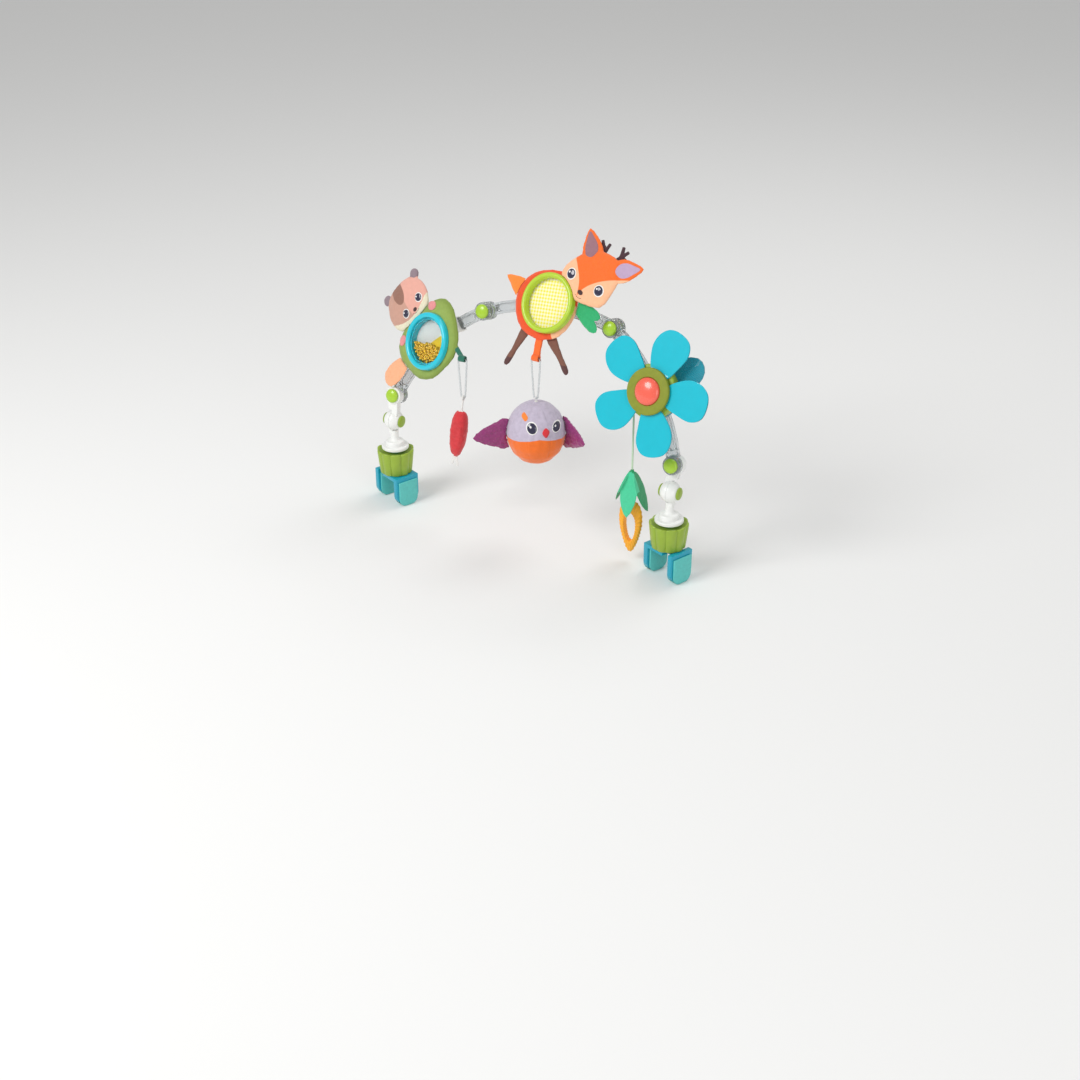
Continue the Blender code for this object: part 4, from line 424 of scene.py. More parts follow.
def dome_web():
    """The flat web that carries the half ball on the dome's neck."""
    low = BALL_HEIGHT - BALL_RADIUS - WEB_BELOW_BALL
    high = BALL_HEIGHT - WEB_BELOW_PIN
    web = bmesh.new()
    bmesh.ops.create_cube(web, size=1.0)
    bmesh.ops.scale(web, vec=(WEB_THICK, WEB_WIDE, high - low), verts=web.verts)
    bmesh.ops.translate(web, vec=(WEB_SHIFT, 0, (low + high) / 2), verts=web.verts)
    return web


for side in ("left", "right"):
    profile = dome_profile(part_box(f"{side}_swivel_dome")[0][2], BALL_HEIGHT - BALL_RADIUS - GAP * MM)
    ball = placed(half_ball(), Matrix.Translation((0, 0, BALL_HEIGHT)) @ UPRIGHT)
    dome = merged(turned(profile, 64, hollow=True), joins=(dome_web(), ball))
    dress(f"{side}_swivel_dome", placed(dome, clamp_axes(side)), WHITE)
    rounded(f"{side}_tilt_knuckle", WHITE, KNUCKLE_EDGE, 40)


# The links and their hubs: one clear moulding used three times, with thin raised rails along
# both edges, and a lime rivet with domed caps through each pair of hub discs. The knuckles'
# own rivets are smaller, with olive caps.
CLEAR = finish("clear_moulding", (226, 230, 232), 0.1, tint=0.02, depth=0.004, Transmission_Weight=0.82,
               IOR=1.46)
LIME = finish("lime_caps", (164, 204, 44), 0.3, tint=0.05, Coat_Weight=0.4, Coat_Roughness=0.12)
LINK_EDGE = 0.4
HUB_CAP_RADIUS = 7.8 * MM
HUB_HALF_GRIP = 8.3 * MM
HUB_CAP_RISE = 4.6 * MM
TILT_CAP_RADIUS = 6.8 * MM
TILT_HALF_GRIP = 9.5 * MM
TILT_CAP_RISE = 3.0 * MM
PIN_RADIUS = 3 * MM
CAP_CHAMFER = 0.5 * MM
CAP_WALL_SHARE = 0.3
ARCH_NORMAL = Vector(JOINT["right_hub"]["axis"]).normalized()
HUB_JOINTS = {"left_hub": "left_hub", "left_mid": "left_mid_hub", "right_mid": "middle_hub",
              "right_hub": "right_hub"}
HUB = {name: Vector(JOINT[joint]["pos_m"]) for name, joint in HUB_JOINTS.items()}


def crown(radius, foot, rise, steps=10):
    """A profile's domed end, from its rim in to its highest point on the axis."""
    return [(radius * cos(swing), foot + rise * sin(swing))
            for swing in (pi / 2 * step / steps for step in range(steps + 1))]


def cap_rivet(radius, grip, rise):
    """A pin with a rounded, domed cap on each end, along Z."""
    wall = rise * CAP_WALL_SHARE
    upper = [(PIN_RADIUS, grip), (radius - CAP_CHAMFER, grip), (radius, grip + CAP_CHAMFER),
             *crown(radius, grip + wall, rise - wall)]
    return turned([(across, -height) for across, height in reversed(upper)] + upper, 48)


def at(place, direction):
    """Axes at a place whose Z runs along a direction."""
    return Matrix.Translation(place) @ direction.to_track_quat("Z", "Y").to_matrix().to_4x4()


for link in ("left_link", "middle_link", "right_link"):
    rounded(link, CLEAR, LINK_EDGE, 40)
for name, place in HUB.items():
    hub_pin = cap_rivet(HUB_CAP_RADIUS, HUB_HALF_GRIP, HUB_CAP_RISE)
    dress(f"{name}_rivet", placed(hub_pin, at(place, ARCH_NORMAL)), LIME)
for side in ("left", "right"):
    tilt_pin = cap_rivet(TILT_CAP_RADIUS, TILT_HALF_GRIP, TILT_CAP_RISE)
    tilt_axes = at(Vector(JOINT[f"{side}_lean"]["pos_m"]), Vector((1, 0, 0)))
    dress(f"{side}_tilt_rivet", placed(tilt_pin, tilt_axes), OLIVE)


# The bear: a stuffed velour body strapped round the left link, a head with round ears, pink
# felt paws and a hanging peach felt flap. Its seams are sewn with matching thread.
LINK_ARC = radians(20)
LINK_PITCH = (HUB["left_mid"] - HUB["left_hub"]).length
LINK_BULGE = LINK_PITCH / 2 / sin(LINK_ARC) * (1 - cos(LINK_ARC))
BEAR_AXIS = 9.0
BEAR_DROP = 5.5
STANDOFF = 15.0
STRAP_DEPTH = 5.2
BODY_EDGE = 18.5
TAPE_LEFT = BEAR_AXIS + 24
TAPE_TOP = -BEAR_DROP - 30
TAPE_SLANT = 5
HEAD_PLACE = Vector((2, 52))
CHEEK_PLACE = (HEAD_PLACE.x + 19, HEAD_PLACE.y + 3)
FOREHEAD_PLACE = (HEAD_PLACE.x - 4, HEAD_PLACE.y + 17)
EAR_SPREAD = 26.5
EAR_RISE = 24.5
EAR_LINING = 7.6
EAR_REACH = 29.5
CHIN_DROP = 19.5
CHIN_BEND = 0.012
BEAR_EYES = (("left", (-2.5, 41)), ("right", (22.5, 45)))
BEAR_EYE_SIZE = 4.3
BEAR_NOSE_PLACE = (11.5, 36.5)
BEAR_MOUTH_PLACE = (11.5, 32.6)
PAWS = (((34, 25), radians(-35)), ((-24, 20), radians(20)))
PATCH_RINGS = 4
SEWN_IN = 0.15
THREAD_THICK = 0.32


def toy_axes(start, end, lean, twist):
    """A toy's own axes: x along its link, y outwards across the arch, z out of its face."""
    along = (end - start).normalized()
    across = ARCH_NORMAL.cross(along)
    turn = Matrix((along, across, ARCH_NORMAL)).transposed().to_4x4()
    middle = Matrix.Translation((LINK_PITCH / 2, LINK_BULGE, 0))
    return Matrix.Translation(start) @ turn @ middle @ Euler((lean, twist, 0)).to_matrix().to_4x4()


BEAR = toy_axes(HUB["left_hub"], HUB["left_mid"], radians(-15.5), radians(-4.5))


def velour(name, levels, pile=0.55, tint=0.1):
    """Short-pile cloth: mottled, rough, with a soft sheen at grazing angles."""
    return finish(name, levels, 0.9, tint, 4, pile, 0.16, Sheen_Weight=0.35, Sheen_Roughness=0.45)


def felt(name, levels):
    """Pressed wool: matt, with a coarse soft grain and little sheen."""
    return finish(name, levels, 0.92, 0.12, 2.5, 0.8, 0.14, Sheen_Weight=0.25, Sheen_Roughness=0.6)


def toy_places(made, axes):
    """A toy's own x, y and z in millimetres, as sockets to draw printed fields with."""
    place, turn = axes.decompose()[:2]
    spots = add(made, "ShaderNodeTexCoord", {}).outputs["Object"]
    local = add(made, "ShaderNodeMapping", {"Vector": spots, "Location": place, "Rotation": turn.to_euler(),
                                            "Scale": (MM, MM, MM)}, vector_type="TEXTURE")
    return add(made, "ShaderNodeSeparateXYZ", {0: local.outputs[0]}).outputs


def sums(made, operation, *values):
    """One step of arithmetic between sockets and numbers."""
    return add(made, "ShaderNodeMath", dict(enumerate(values)), operation=operation).outputs[0]


def oval(made, spots, centre, size, soft=0.05):
    """A mask that is 1 inside an ellipse in a toy's own x and y, and 0 outside."""
    across = sums(made, "DIVIDE", sums(made, "SUBTRACT", spots[0], centre[0]), size[0])
    up = sums(made, "DIVIDE", sums(made, "SUBTRACT", spots[1], centre[1]), size[1])
    reach = sums(made, "ADD", sums(made, "MULTIPLY", across, across), sums(made, "MULTIPLY", up, up))
    return add(made, "ShaderNodeMapRange", {0: reach, 1: 1 - soft, 2: 1 + soft, 3: 1.0, 4: 0.0}).outputs[0]


def above(made, value, line, soft=0.25):
    """A mask that turns from 0 to 1 as a value passes a line."""
    edges = {0: value, 1: line - soft, 2: line + soft, 3: 0.0, 4: 1.0}
    return add(made, "ShaderNodeMapRange", edges).outputs[0]


def below(made, value, line, soft=0.25):
    """A mask that turns from 1 to 0 as a value passes a line."""
    return sums(made, "SUBTRACT", 1.0, above(made, value, line, soft))


def printed(made, levels, mask, tint=0.08):
    """Another colour over a cloth, where a mask is 1."""
    base = shader_of(made).inputs["Base Color"]
    under = base.links[0].from_socket
    over = add(made, "ShaderNodeMix", {0: mask, 6: under, 7: tinted(made, levels, tint, 4)}, data_type="RGBA")
    made.node_tree.links.new(over.outputs[2], base)


def softened(node, material, voxel, rounds=6, word="cloth"):
    """A sewn piece in its node's place: remeshed finely and relaxed, so that no facet is left."""
    pattern = in_scene("pattern", mesh_from("pattern", copy_of(node)))
    remesh = pattern.modifiers.new("fill", "REMESH")
    remesh.mode = "VOXEL"
    remesh.voxel_size = voxel * MM
    shape = taken_from(pattern)
    for _ in range(rounds):
        bmesh.ops.smooth_vert(shape, verts=shape.verts, factor=0.5, use_axis_x=True, use_axis_y=True,
                              use_axis_z=True)
    return dress(node, shape, material, word, sharp=180)


def with_normals(made):
    """Each point of a mesh with its normal, read before any point moves."""
    normals = [vert.normal.copy() for vert in made.data.vertices]
    return zip(made.data.vertices, normals)


def seamed(made, axes, plane, width=0.9, depth=0.45, pucker=0.25):
    """Draw a sewn seam into a stuffed piece, where its two halves meet at one toy height."""
    inverse = axes.inverted()
    outward = axes.to_3x3() @ Vector((0, 0, 1))
    for vert, normal in with_normals(made):
        spot = inverse @ vert.co
        near = abs(spot.z / MM - plane) / width
        flat = normal - outward * normal.dot(outward)
        if near < 1 and flat.length > 0.6:
            fold = 1 + pucker * sin((spot.x + spot.y * 1.3) / MM * 2.2)
            vert.co -= flat.normalized() * depth * MM * (1 - near * near) * fold


def region_of(made, axes, slot, test):
    """Give the faces that pass a test, in a toy's own millimetres, another material slot."""
    inverse = axes.inverted()
    for face in made.data.polygons:
        if test(inverse @ face.center / MM):
            face.material_index = slot


def wrinkled(made, size, depth):
    """Soft folds in the cloth itself, some millimetres across and a fraction deep."""
    for vert, normal in with_normals(made):
        fold = ripple(vert.co / (size * MM)) + 0.5 * ripple(vert.co / (size * MM / 2.3))
        vert.co += normal * fold * depth / 2 * MM


BEAR_GREEN = velour("green_velour", (164, 188, 96))
BEAR_BROWN = velour("bear_velour", (196, 150, 132))
EAR_GREY = velour("ear_grey", (140, 122, 130))
CREAM = felt("cream_felt", (226, 218, 190))
PINK = felt("pink_felt", (226, 140, 140))
PEACH = felt("peach_felt", (240, 172, 128))
GREEN_TAPE = felt("green_tape", (16, 104, 84))
WEBBING = felt("white_webbing", (228, 228, 224))

body_spots = toy_places(BEAR_GREEN, BEAR)
printed(BEAR_GREEN, (124, 146, 62), below(BEAR_GREEN, body_spots[2], BODY_EDGE, 1.5))
bear_body = softened("bear_body", [BEAR_GREEN, WEBBING, GREEN_TAPE], 0.7, 5)
seamed(bear_body, BEAR, STANDOFF)
region_of(bear_body, BEAR, 1, lambda spot: spot.z < STANDOFF - STRAP_DEPTH)
region_of(bear_body, BEAR, 2, lambda spot: spot.y < TAPE_TOP and spot.x > TAPE_LEFT
          and (spot.x - TAPE_LEFT) - (spot.y - TAPE_TOP) > TAPE_SLANT)
wrinkled(bear_body, 7, 0.7)


def in_ear_lining(spot):
    """Whether a place is on the inside of one of the bear's round ears."""
    from_ear = Vector((abs(spot.x - HEAD_PLACE.x) - EAR_SPREAD, spot.y - HEAD_PLACE.y - EAR_RISE))
    return from_ear.length < EAR_LINING and (spot.xy - HEAD_PLACE).length > EAR_REACH


face_spots = toy_places(BEAR_BROWN, BEAR)
printed(BEAR_BROWN, (226, 166, 150), oval(BEAR_BROWN, face_spots, CHEEK_PLACE, (19, 34)))
printed(BEAR_BROWN, (146, 104, 88), oval(BEAR_BROWN, face_spots, FOREHEAD_PLACE, (8.5, 15)))
bear_head = softened("bear_head", [BEAR_BROWN, EAR_GREY, CREAM], 0.8)
seamed(bear_head, BEAR, STANDOFF)
region_of(bear_head, BEAR, 1, in_ear_lining)
region_of(bear_head, BEAR, 2, lambda spot: spot.y < HEAD_PLACE.y - CHIN_DROP
          + CHIN_BEND * (spot.x - HEAD_PLACE.x) ** 2)
wrinkled(bear_head, 6, 0.5)

bear_flap = softened("bear_flap", PEACH, 0.6)
wrinkled(bear_flap, 5, 0.8)


def raised(outline, middle, levels):
    """An outline extruded up through levels of reach share and height, in millimetres."""
    shape = bmesh.new()
    cap = shape.faces.new([shape.verts.new((x * MM, y * MM, 0)) for x, y in outline])
    centre = Vector(middle) * MM
    last = 1.0
    for share, height in levels:
        grown = bmesh.ops.extrude_face_region(shape, geom=[cap])["geom"]
        cap = next(part for part in grown if isinstance(part, bmesh.types.BMFace))
        for vert in cap.verts:
            arm = (Vector(vert.co.xy) - centre) * (share / last)
            vert.co = (centre.x + arm.x, centre.y + arm.y, height * MM)
        last = share
    bmesh.ops.recalc_face_normals(shape, faces=shape.faces)
    return shape


def puffed(outline, rise, edge):
    """A flat patch extruded from its outline and crowned in front."""
    middle = (sum(x for x, y in outline) / len(outline), sum(y for x, y in outline) / len(outline))
    shares = [1 - (ring / (PATCH_RINGS + 0.5)) ** 1.5 for ring in range(PATCH_RINGS + 1)]
    return raised(outline, middle, [(share, edge + rise * (1 - share ** 3) ** 0.5) for share in shares])


FRONTS = {}


def front_of(target):
    """The surface of a finished piece, to lay patches on."""
    if target.name not in FRONTS:
        shape = bmesh.new()
        shape.from_mesh(target.data)
        FRONTS[target.name] = BVHTree.FromBMesh(shape)
        shape.free()
    return FRONTS[target.name]


def settled(shape, axes, target):
    """Lay a patch, drawn flat in a toy's axes, on the front of a finished piece."""
    surface = front_of(target)
    inverse = axes.inverted()
    inward = axes.to_3x3() @ Vector((0, 0, -1))
    level = STANDOFF * MM
    for vert in sorted(shape.verts, key=lambda vert: vert.co.xy.length):
        start = axes @ Vector((vert.co.x, vert.co.y, 90 * MM))
        hit = surface.ray_cast(start, inward)[0]
        level = (inverse @ hit).z if hit else level
        vert.co = axes @ Vector((vert.co.x, vert.co.y, level + vert.co.z - SEWN_IN * MM))
    return shape


def round_outline(centre, across, up, steps=28, turn=0.0):
    """An ellipse of points, turned about its centre."""
    spin = Matrix.Rotation(turn, 2)
    points = [spin @ Vector((across * cos(2 * pi * step / steps), up * sin(2 * pi * step / steps)))
              for step in range(steps)]
    return [(centre[0] + point.x, centre[1] + point.y) for point in points]


def patch(name, outline, ground, material, slot, rise=0.3, edge=0.4):
    """A felt or embroidered patch on its ground: a toy's axes, a finished piece and its body."""
    axes, target, body = ground
    return piece(name, settled(puffed(outline, rise, edge), axes, target), material, body, 60)


EYE_WHITE = felt("eye_felt", (242, 240, 236))
EYE_DARK = finish("eye_bead", (34, 32, 62), 0.15, Coat_Weight=0.8, Coat_Roughness=0.05)
THREAD_DARK = felt("dark_thread", (62, 34, 34))


def plain_eye(name, centre, ground, size):
    """A domed dark bead on a round of white felt, with a small painted highlight of white felt on the bead.
    """
    patch(f"{name}_felt", round_outline(centre, size * 1.2, size * 1.28), ground, EYE_WHITE, "bead_plastic",
          0.2, 0.25)
    patch(f"{name}_bead", round_outline(centre, size, size * 1.05), ground, EYE_DARK, "bead_plastic",
          1.1, 0.6)
    # The white spot is a painted highlight: a small patch of white felt on the bead.
    painted_glint = (centre[0] - size * 0.3, centre[1] + size * 0.35)
    patch(f"{name}_glint", round_outline(painted_glint, size * 0.24, size * 0.24, 12), ground, EYE_WHITE,
          "bead_plastic", 0.3, 1.55)


def stitched_mouth(name, centre, half, tilt, sag, ground, length):
    """Short stitches of dark thread along a shallow curve, in a toy's millimetres."""
    axes, target, body = ground
    points = [Vector((centre[0] + half * share, centre[1] + tilt * share + sag * share * share))
              for share in (-1, -0.6, -0.2, 0.2, 0.6, 1)]
    shape = bmesh.new()
    for start, end in zip(points, points[1:]):
        stitch = bmesh.ops.create_icosphere(shape, subdivisions=1, radius=1.0)["verts"]
        bmesh.ops.scale(shape, vec=(length / 2 * MM, THREAD_THICK * MM, THREAD_THICK * MM), verts=stitch)
        spin = Matrix.Rotation((end - start).angle_signed(Vector((1, 0))), 4, "Z")
        middle = (start + end) / 2 * MM
        bmesh.ops.transform(shape, matrix=Matrix.Translation((*middle, THREAD_THICK * MM * 0.6)) @ spin,
                            verts=stitch)
    return piece(name, settled(shape, axes, target), THREAD_DARK, body, 60)


bear_face = (BEAR, bear_head, "left_arm")
for side, place in BEAR_EYES:
    plain_eye(f"bear_{side}_eye", place, bear_face, BEAR_EYE_SIZE)
patch("bear_nose", round_outline(BEAR_NOSE_PLACE, 2.9, 2.1), bear_face, THREAD_DARK, "bead_plastic", 0.6)
stitched_mouth("bear_mouth", BEAR_MOUTH_PLACE, 5.4, 0, 1.8, bear_face, 2.2)
for number, (place, lean) in enumerate(PAWS):
    patch(f"bear_paw_{number + 1}", round_outline(place, 6.2, 5.2, 28, lean), (BEAR, bear_body, "left_arm"),
          PINK, "peach_felt", 0.5, 0.8)


# The rattle: a turquoise ring clamped through the bear's middle, with a clear domed lens in
# front, a white and yellow backing disc and a heap of loose golden beads behind the lens.
TURQUOISE = finish("turquoise_moulding", (10, 196, 216), 0.24, Coat_Weight=0.5, Coat_Roughness=0.1)
LENS = finish("lens_moulding", (250, 252, 253), 0.03, tint=0.005, depth=0.002, Transmission_Weight=1.0,
              IOR=1.2)
BEAD_AMBER = finish("amber_beads", (255, 196, 36), 0.25, tint=0.2, patch=3, Coat_Weight=0.5,
                    Coat_Roughness=0.1)
BACKING = finish("rattle_backing", (232, 232, 228), 0.35, tint=0.02)
RATTLE = BEAR @ Matrix.Translation((BEAR_AXIS * MM, -BEAR_DROP * MM, 0))
RATTLE_RADIUS = 31.8
RATTLE_RIM = 6.0
RATTLE_SEAT = 18.0
RATTLE_TOP = 25.0
RATTLE_BORE = 23.9
SLEEVE_PROFILE = ((RATTLE_BORE, 12.3), (26.1, 12.3), (26.1, 18.6), (26.6, 19.0), (26.6, 20.2),
                  (RATTLE_BORE, 20.2))
LENS_RADIUS = 25.5
LENS_FOOT = 20.3
LENS_RIM = 21.7
LENS_RISE = 1.6
BACK_PROFILE = ((0, 9.4), (26.8, 9.4), (28, 10.6), (28, 12), (23.6, 12), (23.6, 13.2), (0, 13.2))
YELLOW_SLANT = 0.14
YELLOW_LINE = -0.5
BEAD_RADIUS = 1.7
BEAD_LAYERS = 2
BEAD_ROWS = 15
BEADS_ASIDE = 8
BEAD_ROW_PITCH = 2.9
BEAD_PITCH = 3.3
BEAD_JITTER = 0.8
BEAD_FLOOR = 15.3
BEAD_LAYER_PITCH = 2.2
BEAD_LIFT = 0.7
TRACK_RADIUS = 22.2
HEAP_LEVEL = 22
HEAP_HEIGHT = 20


def ring_profile(inner, outer, foot, top):
    """A bezel with a full round front and a straight inner wall, in millimetres."""
    half = (outer - inner) / 2
    round_top = arc(((outer + inner) / 2, top - half), half, 0, 180, 16)
    return [(inner, foot), (outer - 0.5, foot), (outer, foot + 0.5), *round_top]


def in_mm(points):
    """Profile points in millimetres, as metres."""
    return [(x * MM, y * MM) for x, y in points]


ring = turned(in_mm(ring_profile(RATTLE_RADIUS - RATTLE_RIM, RATTLE_RADIUS, RATTLE_SEAT, RATTLE_TOP)), 96,
              hollow=True)
sleeve = turned(in_mm(SLEEVE_PROFILE), 96, hollow=True)
dress("rattle_ring", placed(merged(ring, joins=(sleeve,)), RATTLE), TURQUOISE)
lens_profile = [(0, LENS_FOOT), (LENS_RADIUS, LENS_FOOT), *crown(LENS_RADIUS, LENS_RIM, LENS_RISE)]
dress("rattle_lens", placed(turned(in_mm(lens_profile), 96), RATTLE), LENS)
backing_spots = toy_places(BACKING, RATTLE)
slant = sums(BACKING, "ADD", sums(BACKING, "MULTIPLY", backing_spots[0], YELLOW_SLANT), backing_spots[1])
printed(BACKING, (250, 214, 40), below(BACKING, slant, YELLOW_LINE))
dress("rattle_back", placed(turned(in_mm(BACK_PROFILE), 96), RATTLE), BACKING)

beads = bmesh.new()
down = RATTLE.to_3x3().inverted() @ Vector((0, 0, -1))
down = Vector(down.xy).normalized()
aside = Vector((-down.y, down.x))
shuffle = random.Random(7)
for layer in range(BEAD_LAYERS):
    for row in range(BEAD_ROWS):
        for column in range(-BEADS_ASIDE, BEADS_ASIDE + 1):
            stagger = column + 0.5 * (row % 2)
            spot = (down * (TRACK_RADIUS - BEAD_RADIUS - row * BEAD_ROW_PITCH)
                    + aside * ((stagger + 0.5 * layer) * BEAD_PITCH))
            spot += Vector((shuffle.uniform(-BEAD_JITTER, BEAD_JITTER),
                            shuffle.uniform(-BEAD_JITTER, BEAD_JITTER)))
            heap = HEAP_HEIGHT - 0.35 * abs(stagger * 1.1 - 1.5) ** 1.1
            if spot.length > RATTLE_BORE - BEAD_RADIUS - GAP or spot.dot(down) < HEAP_LEVEL - heap:
                continue
            height = BEAD_FLOOR + layer * BEAD_LAYER_PITCH + shuffle.uniform(0, BEAD_LIFT)
            ball = bmesh.ops.create_icosphere(beads, subdivisions=2, radius=BEAD_RADIUS * MM)["verts"]
            bmesh.ops.translate(beads, vec=Vector((*spot, height)) * MM, verts=ball)
dress("rattle_beads", placed(beads, RATTLE), BEAD_AMBER, "heap", sharp=180)


# The radish: a padded red velour pod on a white cord, with a forked white root, hung from the
# bear's green tape by a clear tapered strap of bent bar.
RADISH_RED = velour("radish_velour", (206, 52, 58), 0.8, 0.22)
ROOT_WHITE = felt("root_ribbon", (226, 224, 220))
RADISH = Matrix.Translation(Vector(JOINT["radish_swing"]["pos_m"]))
RADISH_TOP = -16.6
RADISH_TIP = -73.5


def hanger(node):
    """The strap of bent clear bar, with the node's place and smoother bar."""
    made = dress(node, copy_of(node), CLEAR, "bar", sharp=60)
    smooth = made.modifiers.new("smooth", "SUBSURF")
    smooth.levels = smooth.render_levels = 2


hanger("radish_clip")
radish = softened("radish_body", [RADISH_RED, ROOT_WHITE], 0.55, 4)
region_of(radish, RADISH, 1, lambda spot: spot.z > RADISH_TOP or spot.z < RADISH_TIP)
wrinkled(radish, 6, 1.0)


# The deer: a stuffed orange velour body round the top link, a turned head with pointed ears,
# felt antlers, tail, two-leaf scarf and flat brown legs, and an orange tape below.
DEER = toy_axes(HUB["left_mid"], HUB["right_mid"], radians(-12.5), radians(-5.5))
DEER_AXIS = 5.5
DEER_HEAD_TURN = radians(-23.5)
DEER_HEAD_PLACE = Vector((57, 35))
DEER_TAPE_TOP = -38.2
DEER_TAPE_HALF = 8
BELLY_PLACE = (DEER_AXIS + 32, -22)
CHEEK_RISE = 7.0
CHEEK_LINE = 27.0
FACE_DEPTH = 16
HEAD_SEAM = STANDOFF + 5.5
HOOF_HEIGHT = 9
DEER_EYES = (("left", (36.5, 34.5)), ("right", (73.5, 20.5)))
DEER_EYE_SIZE = 4.9
DEER_NOSE_PLACE = (51.5, 16.5)
DEER_MOUTH_PLACE = (49.2, 11.0)
EAR_LEAF = ((0, 25), (4.6, 17), (7.6, 9), (6.6, 1), (0, -3), (-6.6, 1), (-7.6, 9), (-4.6, 17))
EAR_ROOT = Vector((0, 4.5))
DEER_ORANGE = velour("deer_velour", (232, 82, 34))
DEER_HEAD = velour("deer_head_velour", (240, 108, 36))
DEER_PEACH = (248, 186, 144)
MAUVE = velour("inner_ear_velour", (150, 108, 118))
PALE_LILAC = velour("lilac_ear_velour", (186, 160, 190))
BROWN = felt("brown_felt", (118, 74, 58))
HOOF = felt("hoof_felt", (84, 46, 44))
ANTLER_BROWN = felt("antler_felt", (62, 30, 40))
TAIL_ORANGE = felt("tail_felt", (250, 132, 40))
SCARF_GREEN = felt("scarf_felt", (30, 168, 104))
ORANGE_TAPE = felt("orange_tape", (242, 104, 30))
DEER_EARS = (("left", radians(43), (-6.8, 16.2), MAUVE), ("right", radians(-56), (24.48, 18.6), PALE_LILAC))

belly_spots = toy_places(DEER_ORANGE, DEER)
printed(DEER_ORANGE, DEER_PEACH, oval(DEER_ORANGE, belly_spots, BELLY_PLACE, (18, 26)))
deer_body = softened("deer_body", [DEER_ORANGE, WEBBING, ORANGE_TAPE], 0.48, 5)
seamed(deer_body, DEER, STANDOFF)
region_of(deer_body, DEER, 1, lambda spot: spot.z < STANDOFF - STRAP_DEPTH)
region_of(deer_body, DEER, 2, lambda spot: spot.y < DEER_TAPE_TOP
          and abs(spot.x - DEER_AXIS) < DEER_TAPE_HALF)
wrinkled(deer_body, 7, 0.7)

DEER_FACE = DEER @ Matrix.Translation((*(DEER_HEAD_PLACE * MM), 0)) @ Matrix.Rotation(DEER_HEAD_TURN, 4, "Z")
cheek_spots = toy_places(DEER_HEAD, DEER_FACE)
outwards = sums(DEER_HEAD, "SQRT", sums(DEER_HEAD, "ABSOLUTE", cheek_spots[0]))
brow = sums(DEER_HEAD, "MULTIPLY", outwards, CHEEK_RISE)
cheeks = above(DEER_HEAD, sums(DEER_HEAD, "SUBTRACT", brow, cheek_spots[1]), CHEEK_LINE, 0.4)
in_front = above(DEER_HEAD, cheek_spots[2], FACE_DEPTH)
printed(DEER_HEAD, DEER_PEACH, sums(DEER_HEAD, "MULTIPLY", cheeks, in_front))
deer_head = softened("deer_head", DEER_HEAD, 0.8)
seamed(deer_head, DEER, HEAD_SEAM)
wrinkled(deer_head, 6, 0.5)
leg_felts = [BROWN, HOOF]
for node, material, voxel in (("deer_antlers", ANTLER_BROWN, 0.5), ("deer_tail", TAIL_ORANGE, 0.55),
                              ("deer_left_leg", leg_felts, 0.55), ("deer_right_leg", leg_felts, 0.55)):
    felt_piece = softened(node, material, voxel, 3)
    if node.endswith("leg"):
        hoof_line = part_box(node)[0][2] / MM + HOOF_HEIGHT
        region_of(felt_piece, Matrix(), 1, lambda spot: spot.z < hoof_line)
    wrinkled(felt_piece, 5, 0.5)
scarf = softened("deer_scarf", SCARF_GREEN, 0.45, 2)
wrinkled(scarf, 6, 0.8)


def smooth_outline(points, steps):
    """A closed smooth curve through (x, y) points, with a few steps between them."""
    smooth = []
    count = len(points)
    for index in range(count):
        before, start, end, after = (Vector(points[(index + k) % count]) for k in (-1, 0, 1, 2))
        for step in range(steps):
            t = step / steps
            bend = (2 * start + (end - before) * t + (2 * before - 5 * start + 4 * end - after) * t ** 2
                    + (3 * start - before - 3 * end + after) * t ** 3) / 2
            smooth.append((bend.x, bend.y))
    return smooth


deer_face = (DEER, deer_head, "middle_arm")
for side, place in DEER_EYES:
    plain_eye(f"deer_{side}_eye", place, deer_face, DEER_EYE_SIZE)
patch("deer_nose", round_outline(DEER_NOSE_PLACE, 3.4, 2.5, 28, DEER_HEAD_TURN), deer_face, THREAD_DARK,
      "bead_plastic", 0.7)
stitched_mouth("deer_mouth", DEER_MOUTH_PLACE, 4.4, -1.9, 1.6, deer_face, 2.0)
for side, turn, place, lining in DEER_EARS:
    ear_turn = Matrix.Rotation(turn + DEER_HEAD_TURN, 2)
    root = Matrix.Rotation(DEER_HEAD_TURN, 2) @ Vector(place) + DEER_HEAD_PLACE + ear_turn @ EAR_ROOT
    inner = [tuple(ear_turn @ Vector(point) + root) for point in smooth_outline(EAR_LEAF, 4)]
    patch(f"deer_{side}_inner_ear", inner, deer_face, lining, "lilac_plush")


# The window: a lime ring with a deep wall sits on the deer's body, and a disc of yellow and
# white gingham cotton is stretched across the back of it.
WINDOW = DEER @ Matrix.Translation((12 * MM, 1.5 * MM, 0))
LIME_RING = finish("lime_ring", (176, 206, 40), 0.34, tint=0.05, Coat_Weight=0.35, Coat_Roughness=0.15)
GINGHAM = finish("gingham_cotton", (244, 240, 214), 0.85, 0.03, 5, 0.5, 0.08, Sheen_Weight=0.2)
WINDOW_BORE = 26.5
WINDOW_RADIUS = 32
WINDOW_SEAT = 18.0
WINDOW_TOP = 26.0
CHECK_PITCH = 3.7
CLOTH_RADIUS = 28.0
CLOTH_PROFILE = ((0, 17.0), (9, 16.9), (18, 16.6), (25, 16.3), (CLOTH_RADIUS, 16.2), (CLOTH_RADIUS, 17.0),
                 (25, 17.1), (18, 17.4), (9, 17.7), (0, 17.8))
window = turned(in_mm(ring_profile(WINDOW_BORE, WINDOW_RADIUS, WINDOW_SEAT, WINDOW_TOP)), 96, hollow=True)
dress("window_ring", placed(window, WINDOW), LIME_RING)
check_spots = toy_places(GINGHAM, WINDOW)
